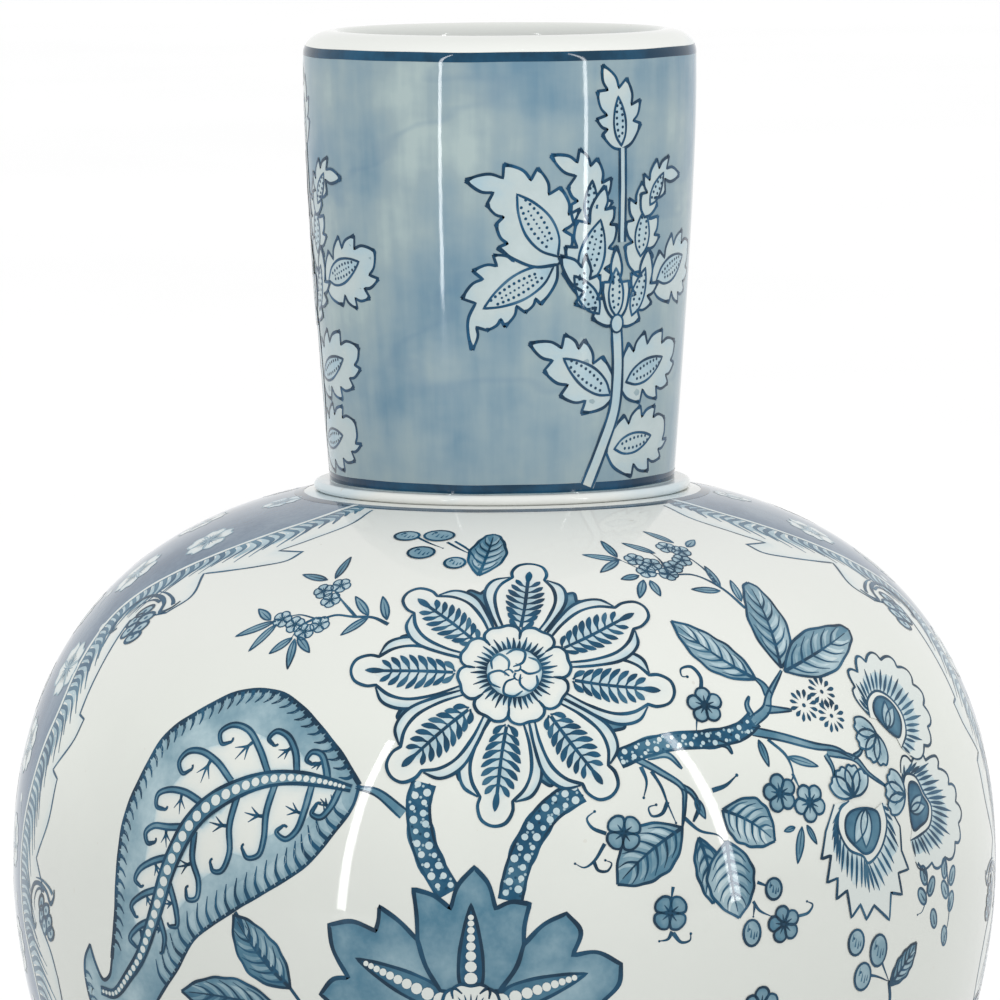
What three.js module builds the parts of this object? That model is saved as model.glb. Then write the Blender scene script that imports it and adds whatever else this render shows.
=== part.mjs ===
// A round-bellied blue-and-white pottery vase with a tall flared neck.
//
// A vase of this size is thrown in sections on the wheel, and the leather-hard sections are luted
// together with slip before the first firing. Each section and each roll of joining slip is a solid
// of its own here, turned about the vase's axis. Millimetres, +Z up, origin at the middle of the
// face of the foot ring that the vase stands on.

import * as THREE from "three";

// Driving dimensions.
const SIDES = 48;
const WALL = 7;
const BELLY_RADIUS = 127.5;
const BELLY_HEIGHT = 118;
const COLLAR_RADIUS = 48.7;
const COLLAR_THICKNESS = 2.6;
const NECK_FOOT_RADIUS = 44.5;
const NECK_HEAD_RADIUS = 50.6;
const NECK_HEAD_HEIGHT = 326;
const TOTAL_HEIGHT = 334.4;
const MOUTH_RADIUS = 40;
const FOOT_RADIUS = 76;
const FOOT_WIDTH = 10;
const FOOT_HEIGHT = 8;
const BASE_THICKNESS = 9;
const SLIP_GAP = 0.3;

// The belly's curve: r = R * (1 - (t / reach) ** rise) ** (1 / fullness), with t measured up or down
// from the widest point.
const SHOULDER = { side: 1, reach: 100.8, rise: 2.25, fullness: 2.84 };
const TAPER = { side: -1, reach: 140, rise: 1.9, fullness: 2.11 };

// Where the sections meet, worked out from the driving dimensions.
const BASE_TOP = FOOT_HEIGHT + BASE_THICKNESS;
const COLLAR_FOOT = heightAt(SHOULDER, COLLAR_RADIUS);
const NECK_FOOT = COLLAR_FOOT + COLLAR_THICKNESS;
const NECK_BORE = NECK_FOOT_RADIUS - WALL;

const GLAZED = new THREE.MeshStandardMaterial({ color: 0xe9e7e1, roughness: 0.12, metalness: 0 });
const SLIP = new THREE.MeshStandardMaterial({ color: 0xe2ded4, roughness: 0.3, metalness: 0 });
const BARE_CLAY = new THREE.MeshStandardMaterial({ color: 0xd8ccb8, roughness: 0.85, metalness: 0 });

function point(radius, height) {
  return new THREE.Vector2(radius, height);
}

// Radius of the belly's outside at a height.
function radiusAt(curve, height) {
  const share = Math.abs(height - BELLY_HEIGHT) / curve.reach;
  return BELLY_RADIUS * (1 - share ** curve.rise) ** (1 / curve.fullness);
}

// Radius of the belly's inside at a height, one wall's thickness in along the normal.
function boreAt(curve, height) {
  const step = -0.1 * curve.side;
  const slope = (radiusAt(curve, height - step) - radiusAt(curve, height)) / step;
  return radiusAt(curve, height) - WALL * Math.hypot(1, slope);
}

// Height at which the belly's outside has a radius.
function heightAt(curve, radius) {
  const share = (1 - (radius / BELLY_RADIUS) ** curve.fullness) ** (1 / curve.rise);
  return BELLY_HEIGHT + curve.side * curve.reach * share;
}

// The belly's outside from the widest point to an end radius, in steps of equal turning angle.
function bellyLine(curve, endRadius, steps) {
  const endAngle = Math.acos((endRadius / BELLY_RADIUS) ** (curve.fullness / 2));
  return Array.from({ length: steps + 1 }, (_, i) => {
    const angle = (endAngle * i) / steps;
    const radius = BELLY_RADIUS * Math.cos(angle) ** (2 / curve.fullness);
    const rise = curve.reach * Math.sin(angle) ** (2 / curve.rise);
    return point(radius, BELLY_HEIGHT + curve.side * rise);
  });
}

// The same line moved sideways by a distance, to the left as it runs.
function shifted(line, distance) {
  return line.map((here, i) => {
    const before = line[Math.max(i - 1, 0)];
    const after = line[Math.min(i + 1, line.length - 1)];
    const along = after.clone().sub(before).normalize();
    return point(here.x - along.y * distance, here.y + along.x * distance);
  });
}

// An elliptical arc, in degrees from the outward radius towards +Z.
function arc(centre, halfWidth, halfHeight, from, to, steps) {
  return Array.from({ length: steps + 1 }, (_, i) => {
    const angle = THREE.MathUtils.degToRad(from + ((to - from) * i) / steps);
    return point(centre.x + halfWidth * Math.cos(angle), centre.y + halfHeight * Math.sin(angle));
  });
}

// A solid of revolution. Its outline runs anticlockwise, with the radius to the right and +Z up.
function turned(name, outline, material) {
  const closed = [...outline, outline[0].clone()];
  const geometry = new THREE.LatheGeometry(closed, SIDES).rotateX(Math.PI / 2);
  const mesh = new THREE.Mesh(geometry, material);
  mesh.name = name;
  return mesh;
}

// The ring that the vase stands on, turned at the wheel, with softened edges.
function footRing() {
  const soft = 1.2;
  const inner = FOOT_RADIUS - FOOT_WIDTH;
  const outline = [
    point(inner + soft, 0),
    point(FOOT_RADIUS - soft, 0),
    point(FOOT_RADIUS, soft),
    point(FOOT_RADIUS - soft, FOOT_HEIGHT),
    point(inner - soft, FOOT_HEIGHT),
    point(inner, soft),
  ];
  return turned("foot_ring", outline, BARE_CLAY);
}

// The floor, whose edge carries the belly's curve down to the foot ring.
function baseDisc() {
  const outline = [
    point(0, FOOT_HEIGHT),
    point(radiusAt(TAPER, FOOT_HEIGHT), FOOT_HEIGHT),
    point(radiusAt(TAPER, BASE_TOP), BASE_TOP),
    point(0, BASE_TOP),
  ];
  return turned("base_disc", outline, GLAZED);
}

// The bowl-shaped section from the floor up to the widest point.
function lowerWall() {
  const outside = bellyLine(TAPER, radiusAt(TAPER, BASE_TOP), 9);
  const inside = outside.map((here) => point(boreAt(TAPER, here.y), here.y));
  inside[0].x = BELLY_RADIUS - WALL;
  return turned("lower_wall", [...outside.reverse(), ...inside], GLAZED);
}

// The domed section from the widest point up to the opening under the neck.
function upperWall() {
  const outside = bellyLine(SHOULDER, COLLAR_RADIUS, 11);
  const inside = [
    point(BELLY_RADIUS - WALL, BELLY_HEIGHT),
    ...shifted(outside, WALL).slice(1),
  ].reverse();
  const opening = [point(NECK_BORE, COLLAR_FOOT), point(NECK_BORE, inside[0].y)];
  return turned("upper_wall", [...outside, ...opening, ...inside], GLAZED);
}

// The thin ring of clay between the shoulder and the neck, with a rounded edge.
function collarRing() {
  const half = COLLAR_THICKNESS / 2;
  const edge = arc(point(COLLAR_RADIUS - half, COLLAR_FOOT + half), half, half, -90, 90, 4);
  const outline = [point(NECK_BORE, COLLAR_FOOT), ...edge, point(NECK_BORE, NECK_FOOT)];
  return turned("collar_ring", outline, GLAZED);
}

// The neck, which flares upwards and then stands nearly straight below the lip.
function neckTube() {
  const flare = new THREE.QuadraticBezierCurve(
    point(NECK_FOOT_RADIUS, NECK_FOOT),
    point(NECK_HEAD_RADIUS + 0.4, 300),
    point(NECK_HEAD_RADIUS, NECK_HEAD_HEIGHT),
  );
  const outside = flare.getPoints(6);
  const inside = shifted(outside, WALL).reverse();
  inside[0].y = NECK_HEAD_HEIGHT;
  inside[inside.length - 1].y = NECK_FOOT;
  return turned("neck_tube", [...outside, ...inside], GLAZED);
}

// The thick rolled lip, which leans in over the neck's bore.
function rimLip() {
  const shoulder = 2.4;
  const top = TOTAL_HEIGHT - NECK_HEAD_HEIGHT - shoulder;
  const crownRadius = MOUTH_RADIUS + 3;
  const edgeHeight = NECK_HEAD_HEIGHT + shoulder;
  const outline = [
    point(NECK_HEAD_RADIUS, NECK_HEAD_HEIGHT),
    ...arc(point(crownRadius, edgeHeight), NECK_HEAD_RADIUS - crownRadius, top, 0, 90, 5),
    ...arc(point(crownRadius, edgeHeight + 1), crownRadius - MOUTH_RADIUS, top - 1, 105, 200, 4),
    point(NECK_HEAD_RADIUS - WALL, NECK_HEAD_HEIGHT),
  ];
  return turned("rim_lip", outline, GLAZED);
}

// A roll of slip worked into a seam from inside: a half-lens with its flat side to the wall.
function seamRoll(name, wallRadius, height, halfHeight, depth) {
  const centre = point(wallRadius - SLIP_GAP, height);
  return turned(name, arc(centre, depth, halfHeight, 90, 270, 4), SLIP);
}

// The fillet of slip in the corner between the floor and the lower wall.
function baseFillet() {
  const size = 6;
  const inset = 2 * SLIP_GAP;
  const corner = point(boreAt(TAPER, BASE_TOP) - inset, BASE_TOP);
  const head = point(boreAt(TAPER, BASE_TOP + size) - inset, BASE_TOP + size);
  const toe = point(corner.x - size, BASE_TOP);
  const hollow = new THREE.QuadraticBezierCurve(head, point(corner.x - 1, BASE_TOP + 1), toe);
  return turned("base_joint_slip", [corner, ...hollow.getPoints(4)], SLIP);
}

const vase = new THREE.Group();
vase.add(
  footRing(),
  baseDisc(),
  baseFillet(),
  lowerWall(),
  seamRoll("belly_joint_slip", BELLY_RADIUS - WALL, BELLY_HEIGHT, 6, 2.2),
  upperWall(),
  collarRing(),
  seamRoll("neck_joint_slip", NECK_BORE, COLLAR_FOOT + COLLAR_THICKNESS / 2, 4, 1.8),
  neckTube(),
  rimLip(),
);

export default vase;
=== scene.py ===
"""Looks of a blue-and-white pottery vase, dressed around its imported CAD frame."""

import logging
import math
from dataclasses import dataclass, field
from enum import Enum
from typing import Iterable, Sequence

import bpy
import numpy as np
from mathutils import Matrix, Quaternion, Vector, geometry


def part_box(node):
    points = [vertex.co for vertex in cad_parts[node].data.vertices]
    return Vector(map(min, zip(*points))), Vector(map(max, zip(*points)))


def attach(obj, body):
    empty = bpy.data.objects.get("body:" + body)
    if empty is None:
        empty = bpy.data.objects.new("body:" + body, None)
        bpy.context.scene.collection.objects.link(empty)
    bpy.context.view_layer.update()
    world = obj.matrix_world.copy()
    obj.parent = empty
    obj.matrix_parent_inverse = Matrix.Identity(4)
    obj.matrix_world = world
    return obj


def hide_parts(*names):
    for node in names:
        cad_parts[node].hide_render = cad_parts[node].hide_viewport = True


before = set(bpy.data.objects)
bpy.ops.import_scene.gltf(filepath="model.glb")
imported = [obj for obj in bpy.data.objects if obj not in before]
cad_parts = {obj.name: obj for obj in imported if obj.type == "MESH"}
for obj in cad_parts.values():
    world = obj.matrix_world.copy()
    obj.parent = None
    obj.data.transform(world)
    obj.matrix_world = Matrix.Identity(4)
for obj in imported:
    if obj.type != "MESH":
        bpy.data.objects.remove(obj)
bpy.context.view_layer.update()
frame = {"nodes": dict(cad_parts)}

LOG = logging.getLogger("vase")

# Points as rows of two or three numbers, and one point across and up.
Line = np.ndarray
Place = tuple[float, float]

# One millimetre in metres.
MM = 0.001

# How many sides every turned piece has, and their angles round from the front.
ROUND = 288
ALL_ROUND = np.arange(ROUND) * 2 * math.pi / ROUND


def colour(code: str) -> tuple[float, float, float, float]:
    """Turns a paint-chart colour into a shader colour.

    Args:
        code: The colour as six hexadecimal digits, as a screen shows it.

    Returns:
        Linear red, green and blue, with full cover.
    """
    parts = [int(code[i : i + 2], 16) / 255 for i in (0, 2, 4)]
    linear = [c / 12.92 if c <= 0.04045 else ((c + 0.055) / 1.055) ** 2.4 for c in parts]
    return (*linear, 1.0)


# ------------------------------------------------------------------ the vase's outline


@dataclass(frozen=True)
class VaseSizes:
    """The vase's sizes in mm, read off the CAD frame where it gives them."""

    belly_radius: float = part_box("upper_wall")[1].x / MM
    belly_height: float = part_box("upper_wall")[0].z / MM
    collar_foot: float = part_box("collar_ring")[0].z / MM
    collar_radius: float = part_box("collar_ring")[1].x / MM
    neck_foot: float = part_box("neck_tube")[0].z / MM
    neck_head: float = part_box("rim_lip")[0].z / MM
    head_radius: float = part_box("rim_lip")[1].x / MM
    top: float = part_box("rim_lip")[1].z / MM
    foot_height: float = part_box("base_disc")[0].z / MM
    base_top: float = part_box("base_disc")[1].z / MM
    foot_radius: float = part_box("foot_ring")[1].x / MM
    neck_radius: float = 44.5
    mouth_radius: float = 40.0
    foot_width: float = 10.0
    wall: float = 7.0
    shoulder: tuple[float, float, float] = (100.8, 2.25, 2.84)
    taper: tuple[float, float, float] = (140.0, 1.9, 2.11)

    def belly_line(self, above: bool, end: float, steps: int) -> Line:
        """Traces the belly's outside from its widest point.

        Args:
            above: True for the shoulder, False for the taper below.
            end: The radius in mm that the line stops at.
            steps: How many points the line has.

        Returns:
            Radius and height in mm, one row a point.
        """
        reach, rise, fullness = self.shoulder if above else self.taper
        last = math.acos((end / self.belly_radius) ** (fullness / 2))
        turn = np.linspace(0, last, steps)
        radius = self.belly_radius * np.cos(turn) ** (2 / fullness)
        climb = reach * np.sin(turn) ** (2 / rise)
        height = self.belly_height + (climb if above else -climb)
        return np.stack([radius, height], axis=1)

    def taper_radius(self, height: float) -> float:
        """Gives the outside radius in mm at a height below the widest point."""
        reach, rise, fullness = self.taper
        share = (self.belly_height - height) / reach
        return self.belly_radius * (1 - share**rise) ** (1 / fullness)

    def neck_line(self, steps: int) -> Line:
        """Gives the neck's outside from the collar up to the lip, as radius and height."""
        foot = (self.neck_radius, self.neck_foot)
        bend = (self.head_radius + 0.4, 300.0)
        return bowed(foot, bend, (self.head_radius, self.neck_head), steps)

    def lip_line(self, steps: int) -> Line:
        """Gives the lip's outside from the neck up and over to its inner edge."""
        crown = self.mouth_radius + 3
        edge = self.neck_head + 2.4
        out = oval((crown, edge), self.head_radius - crown, self.top - edge, 0, 90, steps)
        inner = oval((crown, edge + 1), crown - self.mouth_radius, self.top - edge - 1, 90, 200, steps)
        return np.concatenate([[[self.head_radius, self.neck_head]], out, inner[1:]])


def oval(centre: Place, half_width: float, half_height: float, start: float, end: float,
         steps: int) -> Line:
    """Traces part of an oval.

    Args:
        centre: Its middle.
        half_width: Half its width.
        half_height: Half its height.
        start: First angle in degrees, anticlockwise from the right.
        end: Last angle in degrees.
        steps: How many points to give.

    Returns:
        The points, one row each.
    """
    turn = np.radians(np.linspace(start, end, steps))
    return np.stack([centre[0] + half_width * np.cos(turn), centre[1] + half_height * np.sin(turn)],
                    axis=1)


def bowed(start: Sequence[float], bend: Sequence[float], end: Sequence[float], steps: int) -> Line:
    """Traces a curve between two ends that bows towards a bend."""
    share = np.linspace(0, 1, steps)[:, None]
    near, far = (1 - share) ** 2 * np.asarray(start), share**2 * np.asarray(end)
    return near + 2 * share * (1 - share) * np.asarray(bend) + far


def heading(line: Line) -> Line:
    """Gives the direction in which a line runs at each of its points."""
    along = np.gradient(line, axis=0)
    return along / np.linalg.norm(along, axis=1)[:, None]


def leftward(line: Line) -> Line:
    """Gives the direction to the left of a line at each of its points."""
    along = heading(line)
    return np.stack([-along[:, 1], along[:, 0]], axis=1)


def travelled(line: Line) -> Line:
    """Gives the distance along a line of each of its points."""
    return np.concatenate([[0.0], np.cumsum(np.linalg.norm(np.diff(line, axis=0), axis=1))])


def spot_at(reach: float, along: Sequence[float], line: Line) -> Line:
    """Gives a line's place where its distances along, or its numbering, come to a reach."""
    return np.array([np.interp(reach, along, line[:, k]) for k in (0, 1)])


def set_in(line: Line, depth: float) -> Line:
    """Moves a line sideways to its left by a depth, as the inside follows the outside."""
    return line + depth * leftward(line)


SIZES = VaseSizes()


class Wall:
    """The outside of a turned section, which the painting follows."""

    def __init__(self, line: Line) -> None:
        """Measures the outside along its meridian.

        Args:
            line: Radius and height in mm, rising.
        """
        self.radii, self.heights = line[:, 0], line[:, 1]
        steps = np.hypot(np.diff(self.heights), np.diff(self.radii))
        self.along = np.concatenate([[0.0], np.cumsum(steps)])
        self.out = np.gradient(self.heights, self.along)
        self.lean = -np.gradient(self.radii, self.along)

    def reach(self, height: Line | float) -> Line | float:
        """Gives the distance along the meridian, in mm, at a height."""
        return np.interp(height, self.heights, self.along)

    def radius(self, along: Line | float) -> Line | float:
        """Gives the radius at a distance along the meridian."""
        return np.interp(along, self.along, self.radii)

    def lay(self, turn: Line, along: Line, lift: Line) -> tuple[Line, Line]:
        """Lays points on the outside.

        Args:
            turn: Angles round from the front, in radians, to the right.
            along: Distances along the meridian, in mm.
            lift: Heights above the wall, in mm.

        Returns:
            The points in metres, and the wall's normals there.
        """
        out = np.interp(along, self.along, self.out)
        lean = np.interp(along, self.along, self.lean)
        size = np.hypot(out, lean)
        out, lean = out / size, lean / size
        radius = self.radius(along) + lift * out
        height = np.interp(along, self.along, self.heights) + lift * lean
        across, back = np.sin(turn), -np.cos(turn)
        points = np.stack([radius * across, radius * back, height], axis=1) * MM
        return points, np.stack([out * across, out * back, lean], axis=1)


def both_halves(steps: int) -> Line:
    """Gives the belly's outside from the foot ring up to the collar."""
    foot = SIZES.taper_radius(SIZES.foot_height)
    below = SIZES.belly_line(False, foot, steps)[::-1]
    return np.concatenate([below, SIZES.belly_line(True, SIZES.collar_radius, steps)[1:]])


BELLY = Wall(both_halves(500))
NECK = Wall(np.concatenate([SIZES.neck_line(400), SIZES.lip_line(60)[1:60]]))


# ------------------------------------------------------------------------- finishes

# The body's colour from the foot up, with painted shade: darker towards the foot and lighter up the
# shoulder, as if lit from above; a stop lies at a height in metres times the stretch.
CLAY_STRETCH = 3.0
CLAY_AND_SHADE_STOPS = (
    (0.2, "b9bcb7"),
    (0.37, "bfc2bd"),
    (0.49, "ced1cb"),
    (0.58, "d4d6d1"),
    (0.645, "d6d8d4"),
    (0.66, "c2ced2"),
    (0.96, "c2ced2"),
    (0.98, "d9dbd7"),
)


class Nodes:
    """Builds one material's node tree."""

    def __init__(self, name: str) -> None:
        """Starts a material.

        Args:
            name: The material's name.
        """
        self.material = bpy.data.materials.new(name)
        self.material.use_nodes = True
        self.tree = self.material.node_tree
        self.shader = self.tree.nodes["Principled BSDF"]
        self.place = self.add("ShaderNodeTexCoord").outputs["Object"]

    def add(self, kind: str, **settings: object) -> bpy.types.Node:
        """Adds a node and sets its properties."""
        node = self.tree.nodes.new(kind)
        for key, value in settings.items():
            setattr(node, key, value)
        return node

    def link(self, source: bpy.types.NodeSocket, target: bpy.types.NodeSocket) -> None:
        """Joins two sockets."""
        self.tree.links.new(source, target)

    def feed(self, target: bpy.types.NodeSocket, value: object) -> None:
        """Links a socket into another, or sets a plain value."""
        if isinstance(value, bpy.types.NodeSocket):
            self.link(value, target)
        else:
            target.default_value = value

    def stretched(self, scale: tuple[float, float, float], turn: float = 0.0) -> bpy.types.NodeSocket:
        """Gives the object's coordinates, turned about the view axis and then scaled."""
        node = self.add("ShaderNodeMapping")
        self.link(self.place, node.inputs["Vector"])
        node.inputs["Scale"].default_value = scale
        node.inputs["Rotation"].default_value = (0.0, turn, 0.0)
        return node.outputs["Vector"]

    def clay(self) -> bpy.types.NodeSocket:
        """Gives the off-white body's colour, with painted shade that darkens it towards the foot, and
        bluer under the neck's paint.
        """
        node = self.add("ShaderNodeSeparateXYZ")
        self.link(self.place, node.inputs[0])
        cloud = self.span(self.noise(14.0, 4.0), 0.3, 0.7, -0.008, 0.008)
        height = self.sum(self.sum(node.outputs["Z"], cloud), CLAY_STRETCH, "MULTIPLY")
        return self.ramp(height, CLAY_AND_SHADE_STOPS)

    def noise(self, scale: float, detail: float = 2.0,
              place: bpy.types.NodeSocket | None = None) -> bpy.types.NodeSocket:
        """Gives soft noise from 0 to 1, with a number of features to the metre."""
        node = self.add("ShaderNodeTexNoise")
        self.link(place or self.place, node.inputs["Vector"])
        node.inputs["Scale"].default_value = scale
        node.inputs["Detail"].default_value = detail
        return node.outputs["Fac"]

    def sum(self, first: object, second: object, work: str = "ADD",
            clamp: bool = False) -> bpy.types.NodeSocket:
        """Works out first and second together, by default their sum."""
        node = self.add("ShaderNodeMath", operation=work, use_clamp=clamp)
        self.feed(node.inputs[0], first)
        self.feed(node.inputs[1], second)
        return node.outputs[0]

    def span(self, value: bpy.types.NodeSocket, low: float, high: float, start: float = 0.0,
             end: float = 1.0) -> bpy.types.NodeSocket:
        """Maps low and high to start and end, smoothly, and holds there."""
        node = self.add("ShaderNodeMapRange", interpolation_type="SMOOTHSTEP")
        self.link(value, node.inputs["Value"])
        for key, number in zip(("From Min", "From Max", "To Min", "To Max"), (low, high, start, end)):
            node.inputs[key].default_value = number
        return node.outputs["Result"]

    def ramp(self, value: bpy.types.NodeSocket,
             stops: Sequence[tuple[float, str]]) -> bpy.types.NodeSocket:
        """Gives a colour along a row of stops."""
        node = self.add("ShaderNodeValToRGB")
        self.link(value, node.inputs["Fac"])
        for i, (at, code) in enumerate(stops):
            stop = node.color_ramp.elements[i] if i < 2 else node.color_ramp.elements.new(at)
            stop.position = at
            stop.color = colour(code)
        return node.outputs["Color"]

    def blend(self, amount: object, first: object, second: object,
              way: str = "MIX") -> bpy.types.NodeSocket:
        """Mixes two colours by an amount."""
        node = self.add("ShaderNodeMix", data_type="RGBA", blend_type=way)
        self.feed(node.inputs[0], amount)
        self.feed(node.inputs[6], first)
        self.feed(node.inputs[7], second)
        return node.outputs[2]

    def bump(self, height: bpy.types.NodeSocket, depth: float,
             below: bpy.types.NodeSocket | None = None) -> bpy.types.NodeSocket:
        """Turns a height from 0 to 1 into a surface normal, with its depth in mm."""
        node = self.add("ShaderNodeBump")
        node.inputs["Distance"].default_value = depth * MM
        self.link(height, node.inputs["Height"])
        if below:
            self.link(below, node.inputs["Normal"])
        return node.outputs["Normal"]


@dataclass(frozen=True)
class Glaze:
    """A clear gloss glaze over a colour, with the slow waves of a hand-thrown wall.

    Attributes:
        wave: Depth in mm of the slow waves.
        ripple: Depth in mm of the finer ripple.
        shine: Strength of the mirror reflection, where 0.5 is plain glass.
    """

    wave: float = 0.10
    ripple: float = 0.006
    shine: float = 0.27

    def coat(self, nodes: Nodes, under: bpy.types.NodeSocket) -> bpy.types.Material:
        """Covers a colour with the glaze.

        Args:
            nodes: The material's nodes.
            under: The colour beneath the glaze.

        Returns:
            The finished material.
        """
        nodes.link(under, nodes.shader.inputs["Base Color"])
        nodes.shader.inputs["Specular IOR Level"].default_value = self.shine
        waves = nodes.bump(nodes.noise(17.0, 1.0), self.wave)
        ripples = nodes.bump(nodes.noise(90.0, 2.0), self.ripple, waves)
        nodes.link(ripples, nodes.shader.inputs["Normal"])
        gloss = nodes.span(nodes.noise(35.0, 3.0), 0.3, 0.7, 0.03, 0.06)
        nodes.link(gloss, nodes.shader.inputs["Roughness"])
        return nodes.material


BODY_GLAZE = Glaze()
NECK_GLAZE = Glaze(wave=0.16, ripple=0.035)


@dataclass(frozen=True)
class WhiteBody:
    """Off-white fired clay seen through the glaze, faintly mottled, with a few iron specks and painted
    shade darkening it towards the foot.
    """

    name: str = "white_body"
    glaze: Glaze = BODY_GLAZE

    def build(self) -> bpy.types.Material:
        """Makes the material."""
        nodes = Nodes(self.name)
        specks = nodes.span(nodes.noise(420.0, 1.0), 0.785, 0.81, 0.0, 0.4)
        return self.glaze.coat(nodes, nodes.blend(specks, nodes.clay(), colour("b9b6ac")))


@dataclass(frozen=True)
class Cobalt:
    """Cobalt over the white body: a piece's own tone runs from bare body to the darkest line."""

    name: str = "cobalt"
    glaze: Glaze = BODY_GLAZE
    stops: tuple[tuple[float, str], ...] = (
        (0.0, "ffffff"),
        (0.2, "d3e8f5"),
        (0.42, "93b4c8"),
        (0.6, "598ba8"),
        (0.8, "13597f"),
        (1.0, "003450"),
    )

    def build(self) -> bpy.types.Material:
        """Makes the material."""
        nodes = Nodes(self.name)
        tone = nodes.add("ShaderNodeAttribute", attribute_name="tone").outputs["Fac"]
        cloud = nodes.span(nodes.noise(75.0, 2.0), 0.25, 0.75, -0.10, 0.10)
        grain = nodes.span(nodes.noise(650.0, 2.0), 0.3, 0.7, -0.018, 0.018)
        weight = nodes.span(tone, 0.02, 0.25)
        change = nodes.sum(nodes.sum(cloud, grain), weight, "MULTIPLY")
        tint = nodes.ramp(nodes.sum(tone, change, clamp=True), self.stops)
        # The body's colour beneath, painted shade and all, darkens the paint towards the foot too.
        return self.glaze.coat(nodes, nodes.blend(1.0, nodes.clay(), tint, "MULTIPLY"))


# The colours of the lines and leaves on the neck, over its own pale ground.
NECK_STOPS = (
    (0.0, "f2f2ef"),
    (0.14, "dfe2df"),
    (0.28, "cbdbe2"),
    (0.5, "8fb2c6"),
    (0.8, "13597f"),
    (1.0, "003854"),
)


@dataclass(frozen=True)
class NeckWash:
    """Thin cobalt brushed down the neck, with clouds, brush streaks and a few faint veins."""

    name: str = "neck_wash"
    glaze: Glaze = NECK_GLAZE

    def build(self) -> bpy.types.Material:
        """Makes the material."""
        nodes = Nodes(self.name)
        clouds = nodes.noise(26.0, 4.0, nodes.stretched((1.0, 1.0, 1.5)))
        streaks = nodes.noise(260.0, 4.0, nodes.stretched((1.0, 1.0, 0.12)))
        broad = nodes.noise(75.0, 2.0, nodes.stretched((1.0, 1.0, 0.3)))
        load = nodes.sum(nodes.sum(clouds, 0.58, "MULTIPLY"), nodes.sum(streaks, 0.17, "MULTIPLY"))
        load = nodes.sum(load, nodes.sum(broad, 0.25, "MULTIPLY"))
        stops = [(0.36, "9aaaaa"), (0.44, "889a9f"), (0.52, "7b919b"), (0.63, "607f91")]
        wash = nodes.ramp(load, stops)
        tilted = nodes.stretched((0.5, 0.8, 1.5), math.radians(-18))
        line = nodes.sum(nodes.sum(nodes.noise(13.0, 4.0, tilted), 0.5, "SUBTRACT"), 0.0, "ABSOLUTE")
        vein = nodes.span(line, 0.0, 0.02, 0.2, 0.0)
        return self.glaze.coat(nodes, nodes.blend(vein, wash, colour("55748c")))


@dataclass(frozen=True)
class PanelWash:
    """The dark blue-grey wash of the side panels, brushed on unevenly."""

    name: str = "panel_wash"
    glaze: Glaze = BODY_GLAZE

    def build(self) -> bpy.types.Material:
        """Makes the material."""
        nodes = Nodes(self.name)
        streaks = nodes.noise(60.0, 4.0, nodes.stretched((1.0, 1.0, 0.35)))
        grain = nodes.noise(700.0, 2.0)
        load = nodes.sum(nodes.sum(streaks, 0.8, "MULTIPLY"), nodes.sum(grain, 0.2, "MULTIPLY"))
        stops = [(0.36, "687b8c"), (0.5, "556b80"), (0.62, "435b73")]
        return self.glaze.coat(nodes, nodes.ramp(load, stops))


@dataclass(frozen=True)
class BareClay:
    """Unglazed fired clay on the foot, with fine rings from turning."""

    name: str = "bare_clay"

    def build(self) -> bpy.types.Material:
        """Makes the material."""
        nodes = Nodes(self.name)
        tint = nodes.ramp(nodes.noise(60.0, 5.0), [(0.3, "b9aa92"), (0.7, "d9cfbc")])
        nodes.link(tint, nodes.shader.inputs["Base Color"])
        rings = nodes.noise(1400.0, 2.0, nodes.stretched((0.02, 0.02, 1.0)))
        grit = nodes.bump(nodes.noise(2200.0, 3.0), 0.05)
        nodes.link(nodes.bump(rings, 0.06, grit), nodes.shader.inputs["Normal"])
        rough = nodes.span(nodes.noise(300.0, 3.0), 0.3, 0.7, 0.7, 0.9)
        nodes.link(rough, nodes.shader.inputs["Roughness"])
        return nodes.material


@dataclass(frozen=True)
class WipedSlip:
    """Slip wiped along an inner seam, thinly glazed over finger marks."""

    name: str = "wiped_slip"

    def build(self) -> bpy.types.Material:
        """Makes the material."""
        nodes = Nodes(self.name)
        tint = nodes.ramp(nodes.noise(45.0, 4.0), [(0.3, "cfcabd"), (0.7, "dedace")])
        nodes.link(tint, nodes.shader.inputs["Base Color"])
        marks = nodes.noise(160.0, 3.0)
        nodes.link(nodes.bump(marks, 0.25), nodes.shader.inputs["Normal"])
        nodes.link(nodes.span(marks, 0.3, 0.7, 0.18, 0.32), nodes.shader.inputs["Roughness"])
        return nodes.material


# ------------------------------------------------------------------ the turned sections


def mesh_piece(name: str, points: Line, faces: list[list[int]], normals: Line,
               material: bpy.types.Material) -> bpy.types.Object:
    """Makes a smooth piece whose shading normals are given.

    Args:
        name: The piece's name.
        points: Its points in metres.
        faces: Its faces, as rows of point numbers.
        normals: A normal for each face corner, or for each point.
        material: Its finish.

    Returns:
        The new object, in the scene.
    """
    mesh = bpy.data.meshes.new(name)
    mesh.from_pydata(points.tolist(), [], faces)
    mesh.materials.append(material)
    mesh.shade_smooth()
    if len(normals) == len(points):
        mesh.normals_split_custom_set_from_vertices(normals.tolist())
    else:
        mesh.normals_split_custom_set(normals.tolist())
    piece = bpy.data.objects.new(name, mesh)
    bpy.context.scene.collection.objects.link(piece)
    return piece


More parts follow.
